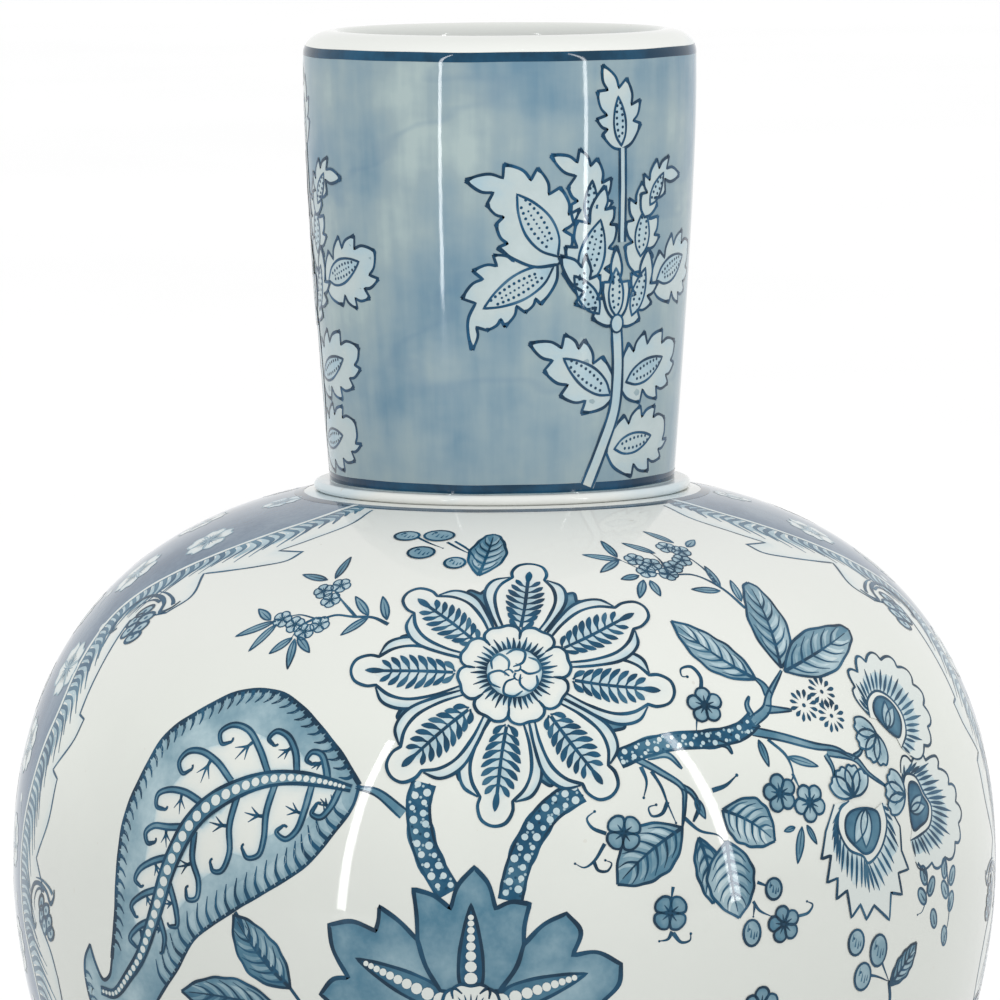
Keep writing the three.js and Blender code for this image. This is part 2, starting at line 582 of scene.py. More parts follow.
def turned(name: str, runs: Sequence[Line], material: bpy.types.Material) -> bpy.types.Object:
    """Turns a closed outline about the vase's axis.

    Args:
        name: The piece's name.
        runs: Smooth stretches of the outline, anticlockwise; a corner lies where two meet.
        material: The piece's finish.

    Returns:
        The piece.
    """
    outline, spans = [], []
    for run in runs:
        facing = -leftward(run)
        spans += [(facing[i], facing[i + 1]) for i in range(len(run) - 1)]
        outline += list(run[:-1])
    if outline[0][0] <= 0:
        outline.append(runs[-1][-1])
    ring = np.stack([np.sin(ALL_ROUND), -np.cos(ALL_ROUND)], axis=1)
    points, starts = [], []
    for radius, height in outline:
        starts.append(len(points))
        sides = ring if radius > 0 else ring[:1]
        points += [(radius * x * MM, radius * y * MM, height * MM) for x, y in sides]
    faces, normals = [], []
    for i, (first, second) in enumerate(spans):
        low, high = starts[i], starts[(i + 1) % len(outline)]
        low_open, high_open = outline[i][0] > 0, outline[(i + 1) % len(outline)][0] > 0
        for j in range(ROUND):
            k = (j + 1) % ROUND
            corners = [(low + j * low_open, j, first), (low + k * low_open, k, first)]
            corners += [(high + k * high_open, k, second), (high + j * high_open, j, second)]
            if not low_open:
                corners.pop(0)
            if not high_open:
                corners.pop(-1)
            faces.append([c[0] for c in corners])
            normals += [(f[0] * ring[s][0], f[0] * ring[s][1], f[1]) for _, s, f in corners]
    return mesh_piece(name, np.array(points), faces, np.array(normals), material)


def row(*points: Place) -> Line:
    """Makes a straight run, with the given points as its ends or bends."""
    return np.array(points, dtype=float)


@dataclass
class TurnedSections:
    """The thrown sections and the slip that joins them.

    Attributes:
        sizes: The vase's sizes.
        steps: Points along each rounded outline.
        slip_gap: Clearance in mm between a roll of slip and its wall.
    """

    sizes: VaseSizes = SIZES
    steps: int = 90
    slip_gap: float = 0.3
    made: list[bpy.types.Object] = field(default_factory=list)

    def keep(self, piece: bpy.types.Object, node: str) -> None:
        """Puts a piece in place of its CAD node.

        Args:
            piece: The finished piece.
            node: The CAD node that it stands for.
        """
        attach(piece, "root")
        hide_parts(node)
        self.made.append(piece)

    def bore(self, height: float) -> float:
        """Gives the inside radius in mm at a height below the widest point."""
        step = 0.1
        slope = (self.sizes.taper_radius(height + step) - self.sizes.taper_radius(height)) / step
        return self.sizes.taper_radius(height) - self.sizes.wall * math.hypot(1, slope)

    def foot(self, clay: bpy.types.Material) -> None:
        """Makes the bare ring that the vase stands on, with softened edges."""
        outer, height = self.sizes.foot_radius, self.sizes.foot_height
        inner, soft = outer - self.sizes.foot_width, 1.2
        flat = row((inner + soft, 0), (outer - soft, 0))
        outside = np.concatenate([oval((outer - soft, soft), soft, soft, -90, 0, 8),
                                  [[outer - soft, height]]])
        top = row((outer - soft, height), (inner - soft, height))
        inside = np.concatenate([[[inner - soft, height]],
                                 oval((inner + soft, soft), soft, soft, 180, 270, 8)])
        self.keep(turned("turned_foot", [flat, outside, top, inside], clay), "foot_ring")

    def floor(self, white: bpy.types.Material) -> None:
        """Makes the glazed floor, whose edge carries the belly's curve to the foot."""
        low, high = self.sizes.foot_height, self.sizes.base_top
        heights = np.linspace(low, high, 8)
        edge = np.array([(self.sizes.taper_radius(h), h) for h in heights])
        under, over = row((0, low), tuple(edge[0])), row(tuple(edge[-1]), (0, high))
        self.keep(turned("glazed_floor", [under, edge, over], white), "base_disc")

    def lower(self, white: bpy.types.Material) -> None:
        """Makes the bowl-shaped section up to the widest point."""
        low, high = self.sizes.base_top, self.sizes.belly_height
        outside = self.sizes.belly_line(False, self.sizes.taper_radius(low), self.steps)[::-1]
        heights = np.linspace(high - 0.2, low, self.steps)
        lip = (self.sizes.belly_radius - self.sizes.wall, high)
        inside = np.array([lip, *((self.bore(h), h) for h in heights)])
        rim, seat = row(tuple(outside[-1]), lip), row(tuple(inside[-1]), tuple(outside[0]))
        self.keep(turned("lower_bowl", [outside, rim, inside, seat], white), "lower_wall")

    def upper(self, white: bpy.types.Material) -> None:
        """Makes the domed section from the widest point up to the neck's opening."""
        outside = self.sizes.belly_line(True, self.sizes.collar_radius, self.steps)
        hole = self.sizes.neck_radius - self.sizes.wall
        inside = set_in(outside, self.sizes.wall)[::-1]
        inside[-1] = (self.sizes.belly_radius - self.sizes.wall, self.sizes.belly_height)
        top = row(tuple(outside[-1]), (hole, self.sizes.collar_foot))
        opening = row((hole, self.sizes.collar_foot), (hole, inside[0][1]))
        ledge = row((hole, inside[0][1]), tuple(inside[0]))
        seat = row(tuple(inside[-1]), tuple(outside[0]))
        runs = [outside, top, opening, ledge, inside, seat]
        self.keep(turned("upper_dome", runs, white), "upper_wall")

    def collar(self, white: bpy.types.Material) -> None:
        """Makes the thin white step between shoulder and neck."""
        low, high = self.sizes.collar_foot, self.sizes.neck_foot
        half, hole = (high - low) / 2, self.sizes.neck_radius - self.sizes.wall
        edge = oval((self.sizes.collar_radius - half, low + half), half, half, -90, 90, 12)
        under, over = row((hole, low), tuple(edge[0])), row(tuple(edge[-1]), (hole, high))
        inside = row((hole, high), (hole, low))
        self.keep(turned("white_collar", [under, edge, over, inside], white), "collar_ring")

    def neck(self, wash: bpy.types.Material) -> None:
        """Makes the washed neck."""
        outside = self.sizes.neck_line(self.steps)
        inside = set_in(outside, self.sizes.wall)[::-1]
        inside[0][1], inside[-1][1] = self.sizes.neck_head, self.sizes.neck_foot
        rim, seat = row(tuple(outside[-1]), tuple(inside[0])), row(tuple(inside[-1]), tuple(outside[0]))
        piece = turned("washed_neck", [outside, rim, inside, seat], wash)
        self.keep(piece, "neck_tube")

    def lip(self, white: bpy.types.Material) -> None:
        """Makes the thick rolled lip."""
        outside = self.sizes.lip_line(30)
        bore = (self.sizes.head_radius - self.sizes.wall, self.sizes.neck_head)
        under, seat = row(tuple(outside[-1]), bore), row(bore, tuple(outside[0]))
        self.keep(turned("rolled_lip", [outside, under, seat], white), "rim_lip")

    def roll(self, name: str, node: str, slip: bpy.types.Material, radius: float, height: float,
             half: float, depth: float) -> None:
        """Makes a roll of slip along an inner seam.

        Args:
            name: The piece's name.
            node: The CAD node that it stands for.
            slip: Its finish.
            radius: The wall's inside radius in mm.
            height: The seam's height in mm.
            half: Half the roll's height in mm.
            depth: How far it stands off the wall, in mm.
        """
        bulge = oval((radius - self.slip_gap, height), depth, half, 90, 270, 14)
        back = row(tuple(bulge[-1]), tuple(bulge[0]))
        self.keep(turned(name, [bulge, back], slip), node)

    def fillet(self, slip: bpy.types.Material) -> None:
        """Makes the fillet of slip in the corner of the floor."""
        size, inset, low = 6.0, 2 * self.slip_gap, self.sizes.base_top
        corner = np.array([self.bore(low) - inset, low])
        head = np.array([self.bore(low + size) - inset, low + size])
        toe, bend = corner - (size, 0), corner + (-1, 1)
        hollow = bowed(head, bend, toe, 12)
        runs = [hollow, row(tuple(toe), tuple(corner)), row(tuple(corner), tuple(head))]
        self.keep(turned("floor_fillet", runs, slip), "base_joint_slip")

    def build(self, wash: bpy.types.Material) -> list[bpy.types.Object]:
        """Makes every section, from the foot up.

        Args:
            wash: The neck's finish.

        Returns:
            The pieces.
        """
        white = WhiteBody().build()
        clay, slip = BareClay().build(), WipedSlip().build()
        inside = self.sizes.belly_radius - self.sizes.wall
        hole = self.sizes.neck_radius - self.sizes.wall
        seam = (self.sizes.collar_foot + self.sizes.neck_foot) / 2
        self.foot(clay)
        self.floor(white)
        self.fillet(slip)
        self.lower(white)
        self.roll("belly_seam_slip", "belly_joint_slip", slip, inside, self.sizes.belly_height, 6, 2.2)
        self.upper(white)
        self.roll("neck_seam_slip", "neck_joint_slip", slip, hole, seam, 4, 1.8)
        self.collar(white)
        self.neck(wash)
        self.lip(white)
        return self.made


# ------------------------------------------------------------------- the painter's kit


def smooth(points: Sequence[Place] | Line, closed: bool = False, per: int = 7) -> Line:
    """Draws a soft curve through points, as a loaded brush would.

    Args:
        points: The places that the curve passes.
        closed: Whether it runs back to its start.
        per: How many points the curve has between two places.

    Returns:
        The curve's points; a closed one doesn't repeat its first.
    """
    knots = np.asarray(points, dtype=float)
    if len(knots) < 3 and not closed:
        return knots[0] + np.linspace(0, 1, per + 1)[:, None] * (knots[-1] - knots[0])
    if closed:
        first, last = knots[-1:], knots[:2]
    else:
        first, last = 2 * knots[:1] - knots[1:2], 2 * knots[-1:] - knots[-2:-1]
    knots = np.concatenate([first, knots, last])
    gaps = np.maximum(np.linalg.norm(np.diff(knots, axis=0), axis=1), 1e-6) ** 0.5
    share = np.linspace(0, 1, per, endpoint=False)[:, None]
    curve = []
    for i in range(1, len(knots) - 2):
        before, here, after = gaps[i - 1], gaps[i], gaps[i + 1]
        start, end = knots[i], knots[i + 1]
        leave = ((start - knots[i - 1]) * here**2 / before + (end - start) * before) / (before + here)
        enter = ((end - start) * after + (knots[i + 2] - end) * here**2 / after) / (here + after)
        cube, square = share**3, share**2
        curve.append(
            (2 * cube - 3 * square + 1) * start
            + (cube - 2 * square + share) * leave
            + (3 * square - 2 * cube) * end
            + (cube - square) * enter
        )
    if not closed:
        curve.append(knots[-2:-1])
    return np.concatenate(curve)


def joined(*runs: Sequence[Place]) -> Line:
    """Joins smooth runs into one outline, with a corner wherever two meet."""
    return np.concatenate([smooth(run)[:-1] for run in runs])


def arched(points: Sequence[Place]) -> Line:
    """Joins arcs of three points into one outline, so that every second point is a corner."""
    return joined(*(points[i : i + 3] for i in range(0, len(points) - 1, 2)))


def mirrored(points: Sequence[Place]) -> list[Place]:
    """Gives the points on the other side of the upright axis, in reverse order."""
    return [(-x, y) for x, y in reversed(list(points))]


def doubled(side: Sequence[Place]) -> Line:
    """Makes an outline from its right half, which starts and ends on the upright axis."""
    return joined(side, mirrored(side))


def dense(line: Line, gap: float, closed: bool) -> Line:
    """Adds points so that none lies further than a gap from the next."""
    ends = np.concatenate([line, line[:1]]) if closed else line
    parts = []
    for start, end in zip(ends[:-1], ends[1:]):
        count = max(1, math.ceil(float(np.linalg.norm(end - start)) / gap))
        parts.append(start + np.arange(count)[:, None] / count * (end - start))
    if not closed:
        parts.append(line[-1:])
    return np.concatenate(parts)


def within(points: Line, outline: Line) -> np.ndarray:
    """Tells which points lie inside an outline."""
    inside = np.zeros(len(points), dtype=bool)
    for (x0, y0), (x1, y1) in zip(outline, np.roll(outline, -1, axis=0)):
        if y0 == y1:
            continue
        spans = (y0 > points[:, 1]) != (y1 > points[:, 1])
        inside ^= spans & (points[:, 0] < (x1 - x0) * (points[:, 1] - y0) / (y1 - y0) + x0)
    return inside


class Touch(Enum):
    """How the brush is pressed along a stroke."""

    EVEN = "even"
    LINE = "line"
    TAIL = "tail"
    SPINDLE = "spindle"
    DROP = "drop"

    def press(self, share: Line) -> Line:
        """Gives the share of the full width along the stroke, from start to end."""
        if self is Touch.LINE:
            return np.minimum(1, 0.5 + 4 * np.minimum(share, 1 - share))
        if self is Touch.TAIL:
            return 1 - 0.8 * share**1.4
        if self is Touch.SPINDLE:
            return np.maximum(0.12, np.sin(math.pi * share) ** 0.8)
        if self is Touch.DROP:
            return np.maximum(0.1, np.sin(math.pi * np.minimum(1, share**1.6)) ** 0.7)
        return np.ones_like(share)


class Layer(Enum):
    """How far a coat of paint stands off the wall, in mm."""

    WASH = 0.03
    LINE = 0.05
    TOP = 0.07


# What a motif paints over its own earlier work is lifted by this much more, in mm, at each level.
LEVEL = 0.06

# Half of the width that a stroke leaves, as a share of the width that it is asked for.
SPREAD = 0.58

# The greatest distance in mm between points along a stroke and round a wash.
STROKE_GAP = 1.8
EDGE_GAP = 2.4


class Skin:
    """Painting on the wall, gathered into one thin piece."""

    def __init__(self, wall: Wall) -> None:
        """Starts with nothing painted.

        Args:
            wall: The wall that it lies on.
        """
        self.wall = wall
        self.places: list[Line] = []
        self.faces: list[list[int]] = []
        self.count = 0

    def add(self, chart: Line, origin: Place, lift: float, tone: Line,
            faces: Iterable[Sequence[int]]) -> None:
        """Adds some painted faces.

        Args:
            chart: Points in mm across and along the wall from the origin.
            origin: The chart's origin: the angle round, and the distance along the meridian.
            lift: Their height above the wall in mm.
            tone: Each point's load of cobalt.
            faces: Rows of point numbers.
        """
        along = np.clip(origin[1] + chart[:, 1], 0, self.wall.along[-1])
        turn = origin[0] + chart[:, 0] / self.wall.radius(along)
        ones = np.ones_like(along)
        self.places.append(np.stack([turn, along, lift * ones, tone * ones], axis=1))
        self.faces += [[i + self.count for i in face] for face in faces]
        self.count += len(along)

    def make(self, name: str, material: bpy.types.Material, turn: float = 0.0,
             squeeze: float = 1.0) -> bpy.types.Object:
        """Makes the piece.

        Args:
            name: The piece's name.
            material: Its finish.
            turn: Degrees that the whole painting is turned round the vase.
            squeeze: Its width round the vase, as a share of its own.

        Returns:
            The piece.
        """
        every = np.concatenate(self.places)
        points, normals = self.wall.lay(every[:, 0] * squeeze + math.radians(turn), every[:, 1],
                                        every[:, 2])
        faces = []
        for face in self.faces:
            corner = points[face[0]]
            facing = np.cross(points[face[1]] - corner, points[face[2]] - corner)
            faces.append(face if facing @ normals[face[0]] > 0 else face[::-1])
        piece = mesh_piece(name, points, faces, normals, material)
        tones = piece.data.attributes.new("tone", "FLOAT", "POINT")
        tones.data.foreach_set("value", np.clip(every[:, 3], 0, 1).astype(np.float32))
        return piece


@dataclass(frozen=True)
class Brush:
    """A brush held at one place on the wall, drawing in mm to the right and up.

    Attributes:
        skin: The painting that it adds to.
        origin: The chart's origin: angle round in radians, distance along in mm.
        frame: How the brush's own mm lie in the chart.
        level: How many times the motif has already been painted over here.
    """

    skin: Skin
    origin: Place
    frame: Line
    level: int = 0

    @staticmethod
    def at(skin: Skin, turn: float, height: float, level: int = 0) -> "Brush":
        """Holds the brush at an angle in degrees and a height in mm."""
        origin = (math.radians(turn), float(skin.wall.reach(height)))
        return Brush(skin, origin, np.array([[1.0, 0.0, 0.0], [0.0, 1.0, 0.0]]), level)

    @staticmethod
    def between(skin: Skin, start: Place, end: Place, level: int = 0) -> tuple["Brush", float]:
        """Holds the brush at a start, pointing up to an end.

        Args:
            skin: The painting.
            start: Angle in degrees and height in mm.
            end: The same for the end.
            level: How many washes lie beneath.

        Returns:
            The brush and the distance in mm.
        """
        brush = Brush.at(skin, (start[0] + end[0]) / 2, (start[1] + end[1]) / 2, level)
        first, last = brush.places([start, end])
        return brush.aimed(first, last)

    def places(self, spots: Sequence[Place]) -> Line:
        """Gives the chart's mm for angles in degrees and heights in mm."""
        wall = self.skin.wall
        along = np.array([wall.reach(height) for _, height in spots])
        turn = np.radians([angle for angle, _ in spots]) - self.origin[0]
        return np.stack([turn * wall.radius(along), along - self.origin[1]], axis=1)

    def moved(self, x: float = 0.0, y: float = 0.0, lean: float = 0.0, size: float = 1.0,
              flip: bool = False) -> "Brush":
        """Holds the brush elsewhere.

        Args:
            x: Move to the right in mm.
            y: Move up in mm.
            lean: Turn anticlockwise in degrees.
            size: Scale of what is drawn.
            flip: Whether left and right change places.

        Returns:
            The brush at its new place.
        """
        turn, side = math.radians(lean), -1.0 if flip else 1.0
        step = np.array([
            [size * side * math.cos(turn), -size * math.sin(turn), x],
            [size * side * math.sin(turn), size * math.cos(turn), y],
            [0.0, 0.0, 1.0],
        ])
        return Brush(self.skin, self.origin, self.frame @ step, self.level)

    def over(self, levels: int = 1) -> "Brush":
        """Holds the brush so that it paints over what lies beneath."""
        return Brush(self.skin, self.origin, self.frame, self.level + levels)

    def lift(self, layer: Layer) -> float:
        """Gives a coat's height above the wall in mm."""
        return layer.value + LEVEL * self.level

    def aimed(self, start: Sequence[float], end: Sequence[float]) -> tuple["Brush", float]:
        """Holds the brush at a start in its own mm, pointing up to an end, and gives the distance."""
        across, up = end[0] - start[0], end[1] - start[1]
        held = self.moved(start[0], start[1], math.degrees(math.atan2(-across, up)))
        return held, math.hypot(across, up)

    def chart(self, points: Sequence[Place] | Line) -> Line:
        """Gives the chart's mm for the brush's own."""
        spots = np.asarray(points, dtype=float)
        return spots @ self.frame[:, :2].T + self.frame[:, 2]

    def wash(self, outline: Line, tone: float, rim: float | None = None, fade: float = 2.0,
             grid: float = 3.0, layer: Layer = Layer.WASH) -> None:
        """Fills an outline.

        Args:
            outline: Its points in mm.
            tone: The load of cobalt in the middle.
            rim: The load at the edge, or None for the same.
            fade: How far in mm the rim's load reaches inward.
            grid: Distance in mm between inner points.
            layer: The coat.
        """
        edge = dense(self.chart(outline), EDGE_GAP, True)
        low, high = edge.min(axis=0), edge.max(axis=0)
        across, up = np.meshgrid(np.arange(low[0], high[0], grid),
                                 np.arange(low[1], high[1], grid * 0.87))
        across = across + (np.arange(len(across)) % 2)[:, None] * grid / 2
        inner = np.stack([across.ravel(), up.ravel()], axis=1)
        if len(inner):
            inner = inner[within(inner, edge)]
        if len(inner):
            gaps = np.linalg.norm(inner[:, None] - edge[None], axis=2).min(axis=1)
            inner = inner[gaps > grid * 0.35]
        spots = [Vector(p) for p in np.concatenate([edge, inner])]
        found = geometry.delaunay_2d_cdt(spots, [], [list(range(len(edge)))], 1, 1e-5)
        chart = np.array([tuple(p) for p in found[0]])
        gaps = np.linalg.norm(chart[:, None] - edge[None], axis=2).min(axis=1)
        rim = tone if rim is None else rim
        load = rim + (tone - rim) * (1 - np.exp(-gaps / fade))
        self.skin.add(chart, self.origin, self.lift(layer), load, found[2])

    def stroke(self, points: Sequence[Place] | Line, width: float = 0.6, tone: float = 0.92,
               touch: Touch = Touch.LINE,
               closed: bool = False, ready: bool = False, layer: Layer = Layer.LINE) -> None:
        """Draws a brush stroke.

        Args:
            points: The places in mm that it passes.
            width: Its full width in mm.
            tone: The load of cobalt.
            touch: How the brush is pressed.
            closed: Whether it runs back to its start.
            ready: Whether the points are already a curve.
            layer: The coat.
        """
        line = np.asarray(points, dtype=float) if ready else smooth(points, closed)
        line = dense(self.chart(line), STROKE_GAP, closed)
        ring = np.concatenate([line[-1:], line, line[:1]]) if closed else line
        tangent = np.gradient(ring, axis=0)[1:-1] if closed else np.gradient(ring, axis=0)
        tangent /= np.maximum(np.linalg.norm(tangent, axis=1), 1e-9)[:, None]
        along = travelled(line)
        press = np.ones(len(line)) if closed else touch.press(along / max(along[-1], 1e-9))
        wander = 1 + 0.13 * np.sin(along * 0.55 + line[0, 0]) * np.sin(along * 0.23 + line[0, 1])
        half = (width * SPREAD * press * wander)[:, None] * np.stack([-tangent[:, 1], tangent[:, 0]],
                                                                     axis=1)
        columns = 2 if width < 2.4 else 4
        chart = np.concatenate([line + half * (1 - 2 * i / (columns - 1)) for i in range(columns)])
        count = len(line)
        rows = range(count) if closed else range(count - 1)
        faces = [
            (c * count + i, (c + 1) * count + i, (c + 1) * count + (i + 1) % count,
             c * count + (i + 1) % count)
            for c in range(columns - 1)
            for i in rows
        ]
        load = tone * (1 + 0.07 * np.sin(along * 0.31 + line[0, 0] * 1.7))
        self.skin.add(chart, self.origin, self.lift(layer), np.tile(load, columns), faces)

    def ring(self, outline: Line, width: float, tone: float, layer: Layer = Layer.TOP) -> None:
        """Draws round a closed outline whose points are already a curve."""
        self.stroke(outline, width, tone, closed=True, ready=True, layer=layer)

    def dot(self, x: float, y: float, radius: float, tone: float, layer: Layer = Layer.TOP,
            tall: float = 1.0) -> None:
        """Sets down a dot.

        Args:
            x: Its place in mm.
            y: Its place in mm.
            radius: Its radius in mm.
            tone: The load of cobalt.
            layer: The coat.
            tall: Its height over its width.
        """
        sides = 12
        turn = np.linspace(0, 2 * math.pi, sides, endpoint=False)
        edge = np.stack([x + radius * np.cos(turn), y + radius * tall * np.sin(turn)], axis=1)
        chart = self.chart(np.concatenate([edge, [[x, y]]]))
        faces = [(i, (i + 1) % sides, sides) for i in range(sides)]
        self.skin.add(chart, self.origin, self.lift(layer), np.full(sides + 1, tone), faces)

    def shape(self, outline: Line, tone: float, width: float = 0.6, line: float = 0.92,
              rim: float | None = None, fade: float = 2.0) -> None:
        """Fills an outline and draws round it.

        Args:
            outline: Its points in mm.
            tone: The load of cobalt inside.
            width: The line's width in mm.
            line: The line's load.
            rim: The load just inside the line, or None for the same.
            fade: How far in mm the rim's load reaches inward.
        """
        self.wash(outline, tone, rim, fade)
        self.ring(outline, width, line, Layer.LINE)


# ------------------------------------------------------------------- shared small motifs

# A leaf's dotted almond: its base, its tip and its width in mm.
Seed = tuple[Place, Place, float]


def almond(length: float, width: float, base: float = 0.0) -> Line:
    """Gives a pointed oval from the brush's place upward.

    Args:
        length: Its length in mm.
        width: Its width in mm.
        base: Height in mm where it starts.

    Returns:
        The outline.
    """
    half = width / 2
    side = [(0, base), (0.75 * half, base + 0.2 * length), (half, base + 0.48 * length),
            (0.62 * half, base + 0.78 * length), (0, base + length)]
    return doubled(side)


def round_spot(x: float, y: float, radius: float, tall: float = 1.0, lean: float = 0.0) -> Line:
    """Gives a round or oval outline about a place, its long way turned by a lean in degrees."""
    turn = np.linspace(0, 2 * math.pi, 20, endpoint=False)
    across, up = radius * np.cos(turn), radius * tall * np.sin(turn)
    tilt = math.radians(lean)
    return np.stack([x + across * math.cos(tilt) - up * math.sin(tilt),
                     y + across * math.sin(tilt) + up * math.cos(tilt)], axis=1)


def flame_edge(base: Place, tips: Sequence[Place], side: float) -> list[Line]:
    """Draws one side of a flame-toothed leaf, from its base to its last tip.

    Args:
        base: The leaf's base in mm.
        tips: The teeth's tips in order, the leaf's own tip last.
        side: 1 when the outside lies to the right on the way up, -1 when to the left.

    Returns:
        Smooth runs with corners between them.
    """
    bite, deepest = 0.42, 3.1
    runs, here = [], np.array(base, dtype=float)
    for i, tip in enumerate(np.asarray(tips, dtype=float)):
        ahead = tip - here
        out = np.array([ahead[1], -ahead[0]]) * side
        runs.append(smooth([here, here + 0.34 * ahead + 0.13 * out, here + 0.7 * ahead + 0.1 * out, tip]))
        if i == len(tips) - 1:
            break
        onward = np.asarray(tips[i + 1], dtype=float) - tip
        span = float(np.linalg.norm(onward))
        out = np.array([onward[1], -onward[0]]) * side / span
        notch = tip + 0.14 * onward - min(bite * span, deepest) * out
        runs.append(smooth([tip, notch]))
        here = notch
    return runs


def flame_leaf(brush: Brush, base: Place, right: Sequence[Place], tip: Place, left: Sequence[Place],
               seed: Seed) -> None:
    """Draws a flame-toothed leaf with a dotted almond inside.

    Args:
        brush: The brush.
        base: The leaf's base in mm.
        right: Tips of the teeth on the side reached first going anticlockwise.
        tip: The leaf's own tip.
        left: Tips on the other side, from base to tip.
        seed: The almond's base, tip and width.
    """
    width = 0.68
    axis = np.subtract(tip, base)
    lean = sum(axis[0] * (y - base[1]) - axis[1] * (x - base[0]) for x, y in right)
    lean -= sum(axis[0] * (y - base[1]) - axis[1] * (x - base[0]) for x, y in left)
    side = 1.0 if lean < 0 else -1.0
    first = flame_edge(base, [*right, tip], side)
    second = flame_edge(base, [*left, tip], -side)
    back = [run[::-1] for run in reversed(second)]
    outline = np.concatenate([run[:-1] for run in first + back])
    brush.shape(outline, 0.14, width, 0.93, 0.2, 1.2)
    for run in (*first[::2], *second[::2]):
        brush.stroke(run[::-1][: int(len(run) * 0.4)], 1.15, 0.93, Touch.TAIL, ready=True,
                     layer=Layer.LINE)
    start, end, girth = seed
    held, length = brush.aimed(start, end)
    core = almond(length, girth)
    held.wash(core, 0.26, layer=Layer.LINE, grid=2.0)
    held.ring(core, width * 0.85, 0.88)
    count = max(2, round(length / 2.1))
    for i in range(count):
        up = length * (0.2 + 0.62 * i / (count - 1))
        reach = 0.24 * girth * math.sin(math.pi * up / length)
        held.dot(-reach, up, 0.4, 0.97)
        held.dot(reach, up + length * 0.05, 0.4, 0.97)
    if girth > 6:
        for i in range(count - 1):
            held.dot(0, length * (0.26 + 0.6 * i / count), 0.3, 0.97)


def veined_leaf(brush: Brush, length: float, width: float, fill: float, veins: int, bend: float,
                blunt: bool) -> None:
    """Draws a leaf with a midrib and side veins.

    Args:
        brush: The brush, at the leaf's base and pointing to its tip.
        length: Its length in mm.
        width: Its width in mm.
        fill: The load inside.
        veins: How many veins each side has.
        bend: How far in mm the middle bows to the right.
        blunt: Whether the tip is round.
    """
    half, dark = width / 2, 0.9

    def bow(share: float) -> float:
        """Gives the midrib's sideways place."""
        return bend * math.sin(math.pi * share)

    girths = [(0.0, 0.0), (0.16, 0.6), (0.38, 1.0), (0.6, 0.96), (0.82, 0.62)]
    crown = [(0.95, 0.36), (1.0, 0.0)] if blunt else [(1.0, 0.0)]
    shares, widths = zip(*girths, (1.0, 0.0))
    rib = smooth([(bow(share), length * share) for share in (0, 0.3, 0.6, 0.8, 1.0)])
    for side, deeper in ((1, -0.02), (-1, 0.1)):
        edge = smooth([(side * half * w + bow(share), length * share) for share, w in girths + crown])
        along = np.linspace(0, 1, len(edge))
        edge[:, 0] += side * 0.16 * np.sin(math.pi * along) * np.sin(2 * math.pi * veins * along)
        brush.wash(np.concatenate([edge, rib[::-1][1:-1]]), fill + deeper, fill + deeper + 0.08, 1.0)
        brush.stroke(edge, 0.64, dark, Touch.EVEN, ready=True, layer=Layer.TOP)
        for i in range(veins):
            share = 0.1 + 0.7 * i / veins
            start = (bow(share), length * share)
            span = np.interp(share + 0.2, shares, widths)
            end = (bow(share + 0.22) + side * half * span * 0.86, length * (share + 0.22))
            middle = ((start[0] + end[0]) / 2 + side * 0.05 * width,
                      (start[1] + end[1]) / 2 - 0.015 * length)
            brush.stroke([start, middle, end], 0.58, dark - 0.04, Touch.TAIL, layer=Layer.TOP)
            lower = [(x, y + 0.3 * length / veins) for x, y in (start, middle, end)]
            lower[2] = (0.8 * end[0] + 0.2 * start[0], lower[2][1] - 0.04 * length)
            brush.stroke(lower, 0.9, fill + deeper - 0.09, Touch.SPINDLE)
    brush.stroke(rib[: int(len(rib) * 0.93)], 0.85, dark, Touch.TAIL, ready=True, layer=Layer.TOP)


def narrow_leaf(brush: Brush, length: float, width: float = 1.9, fill: float = 0.55) -> None:
    """Draws a small narrow leaf from the brush's place."""
    core = almond(length, width)
    brush.wash(core, fill, grid=1.5, layer=Layer.LINE)
    brush.ring(core, 0.4, 0.85)
    brush.stroke([(0, 0), (0, length * 0.75)], 0.35, 0.85, Touch.TAIL, layer=Layer.TOP)


def blossom(brush: Brush, radius: float, petals: int, fill: float = 0.4, dark: float = 0.92,
            cut: float = 0.32) -> None:
    """Draws a small round-petalled blossom.

    Args:
        brush: The brush, at its middle.
        radius: Its radius in mm.
        petals: How many petals it has.
        fill: The load inside the petals.
        dark: The load of the lines.
        cut: Half of a petal's width, as a share of the radius.
    """
    line = min(0.62, 0.12 * radius)
    for i in range(petals):
        held = brush.moved(lean=i * 360 / petals)
        side = [(0, 0.12 * radius), (0.8 * cut * radius, 0.36 * radius),
                (cut * 1.12 * radius, 0.68 * radius), (0.62 * cut * radius, 0.94 * radius), (0, radius)]
        outline = doubled(side)
        held.wash(outline, fill, fill + 0.14, 0.8, 1.6, Layer.LINE)
        held.ring(outline, line, dark)
        held.stroke([(0, 0.1 * radius), (0.03 * radius, 0.56 * radius)], line, dark, Touch.TAIL,
                    layer=Layer.TOP)
    brush.dot(0, 0, 0.17 * radius, dark)


def berry(brush: Brush, radius: float, tall: float = 1.0, fill: float = 0.4) -> None:
    """Draws a berry with a few hatched strokes and a small dark eye."""
    edge = round_spot(0, 0, radius, tall)
    brush.wash(edge, fill, grid=1.6, layer=Layer.LINE)
    brush.ring(edge, 0.6, 0.9)
    for x, y, span in ((-0.5, 0.1, 0.8), (-0.15, -0.35, 0.9), (0.2, -0.5, 0.8), (0.5, -0.35, 0.6)):
        start = (x * radius, y * radius * tall)
        brush.stroke([start, (start[0] + 0.12 * radius, start[1] + span * 0.75 * radius * tall)], 0.45,
                     0.72, Touch.TAIL, layer=Layer.TOP)
    brush.dot(-0.3 * radius, 0.4 * radius, 0.13 * radius, 0.85)


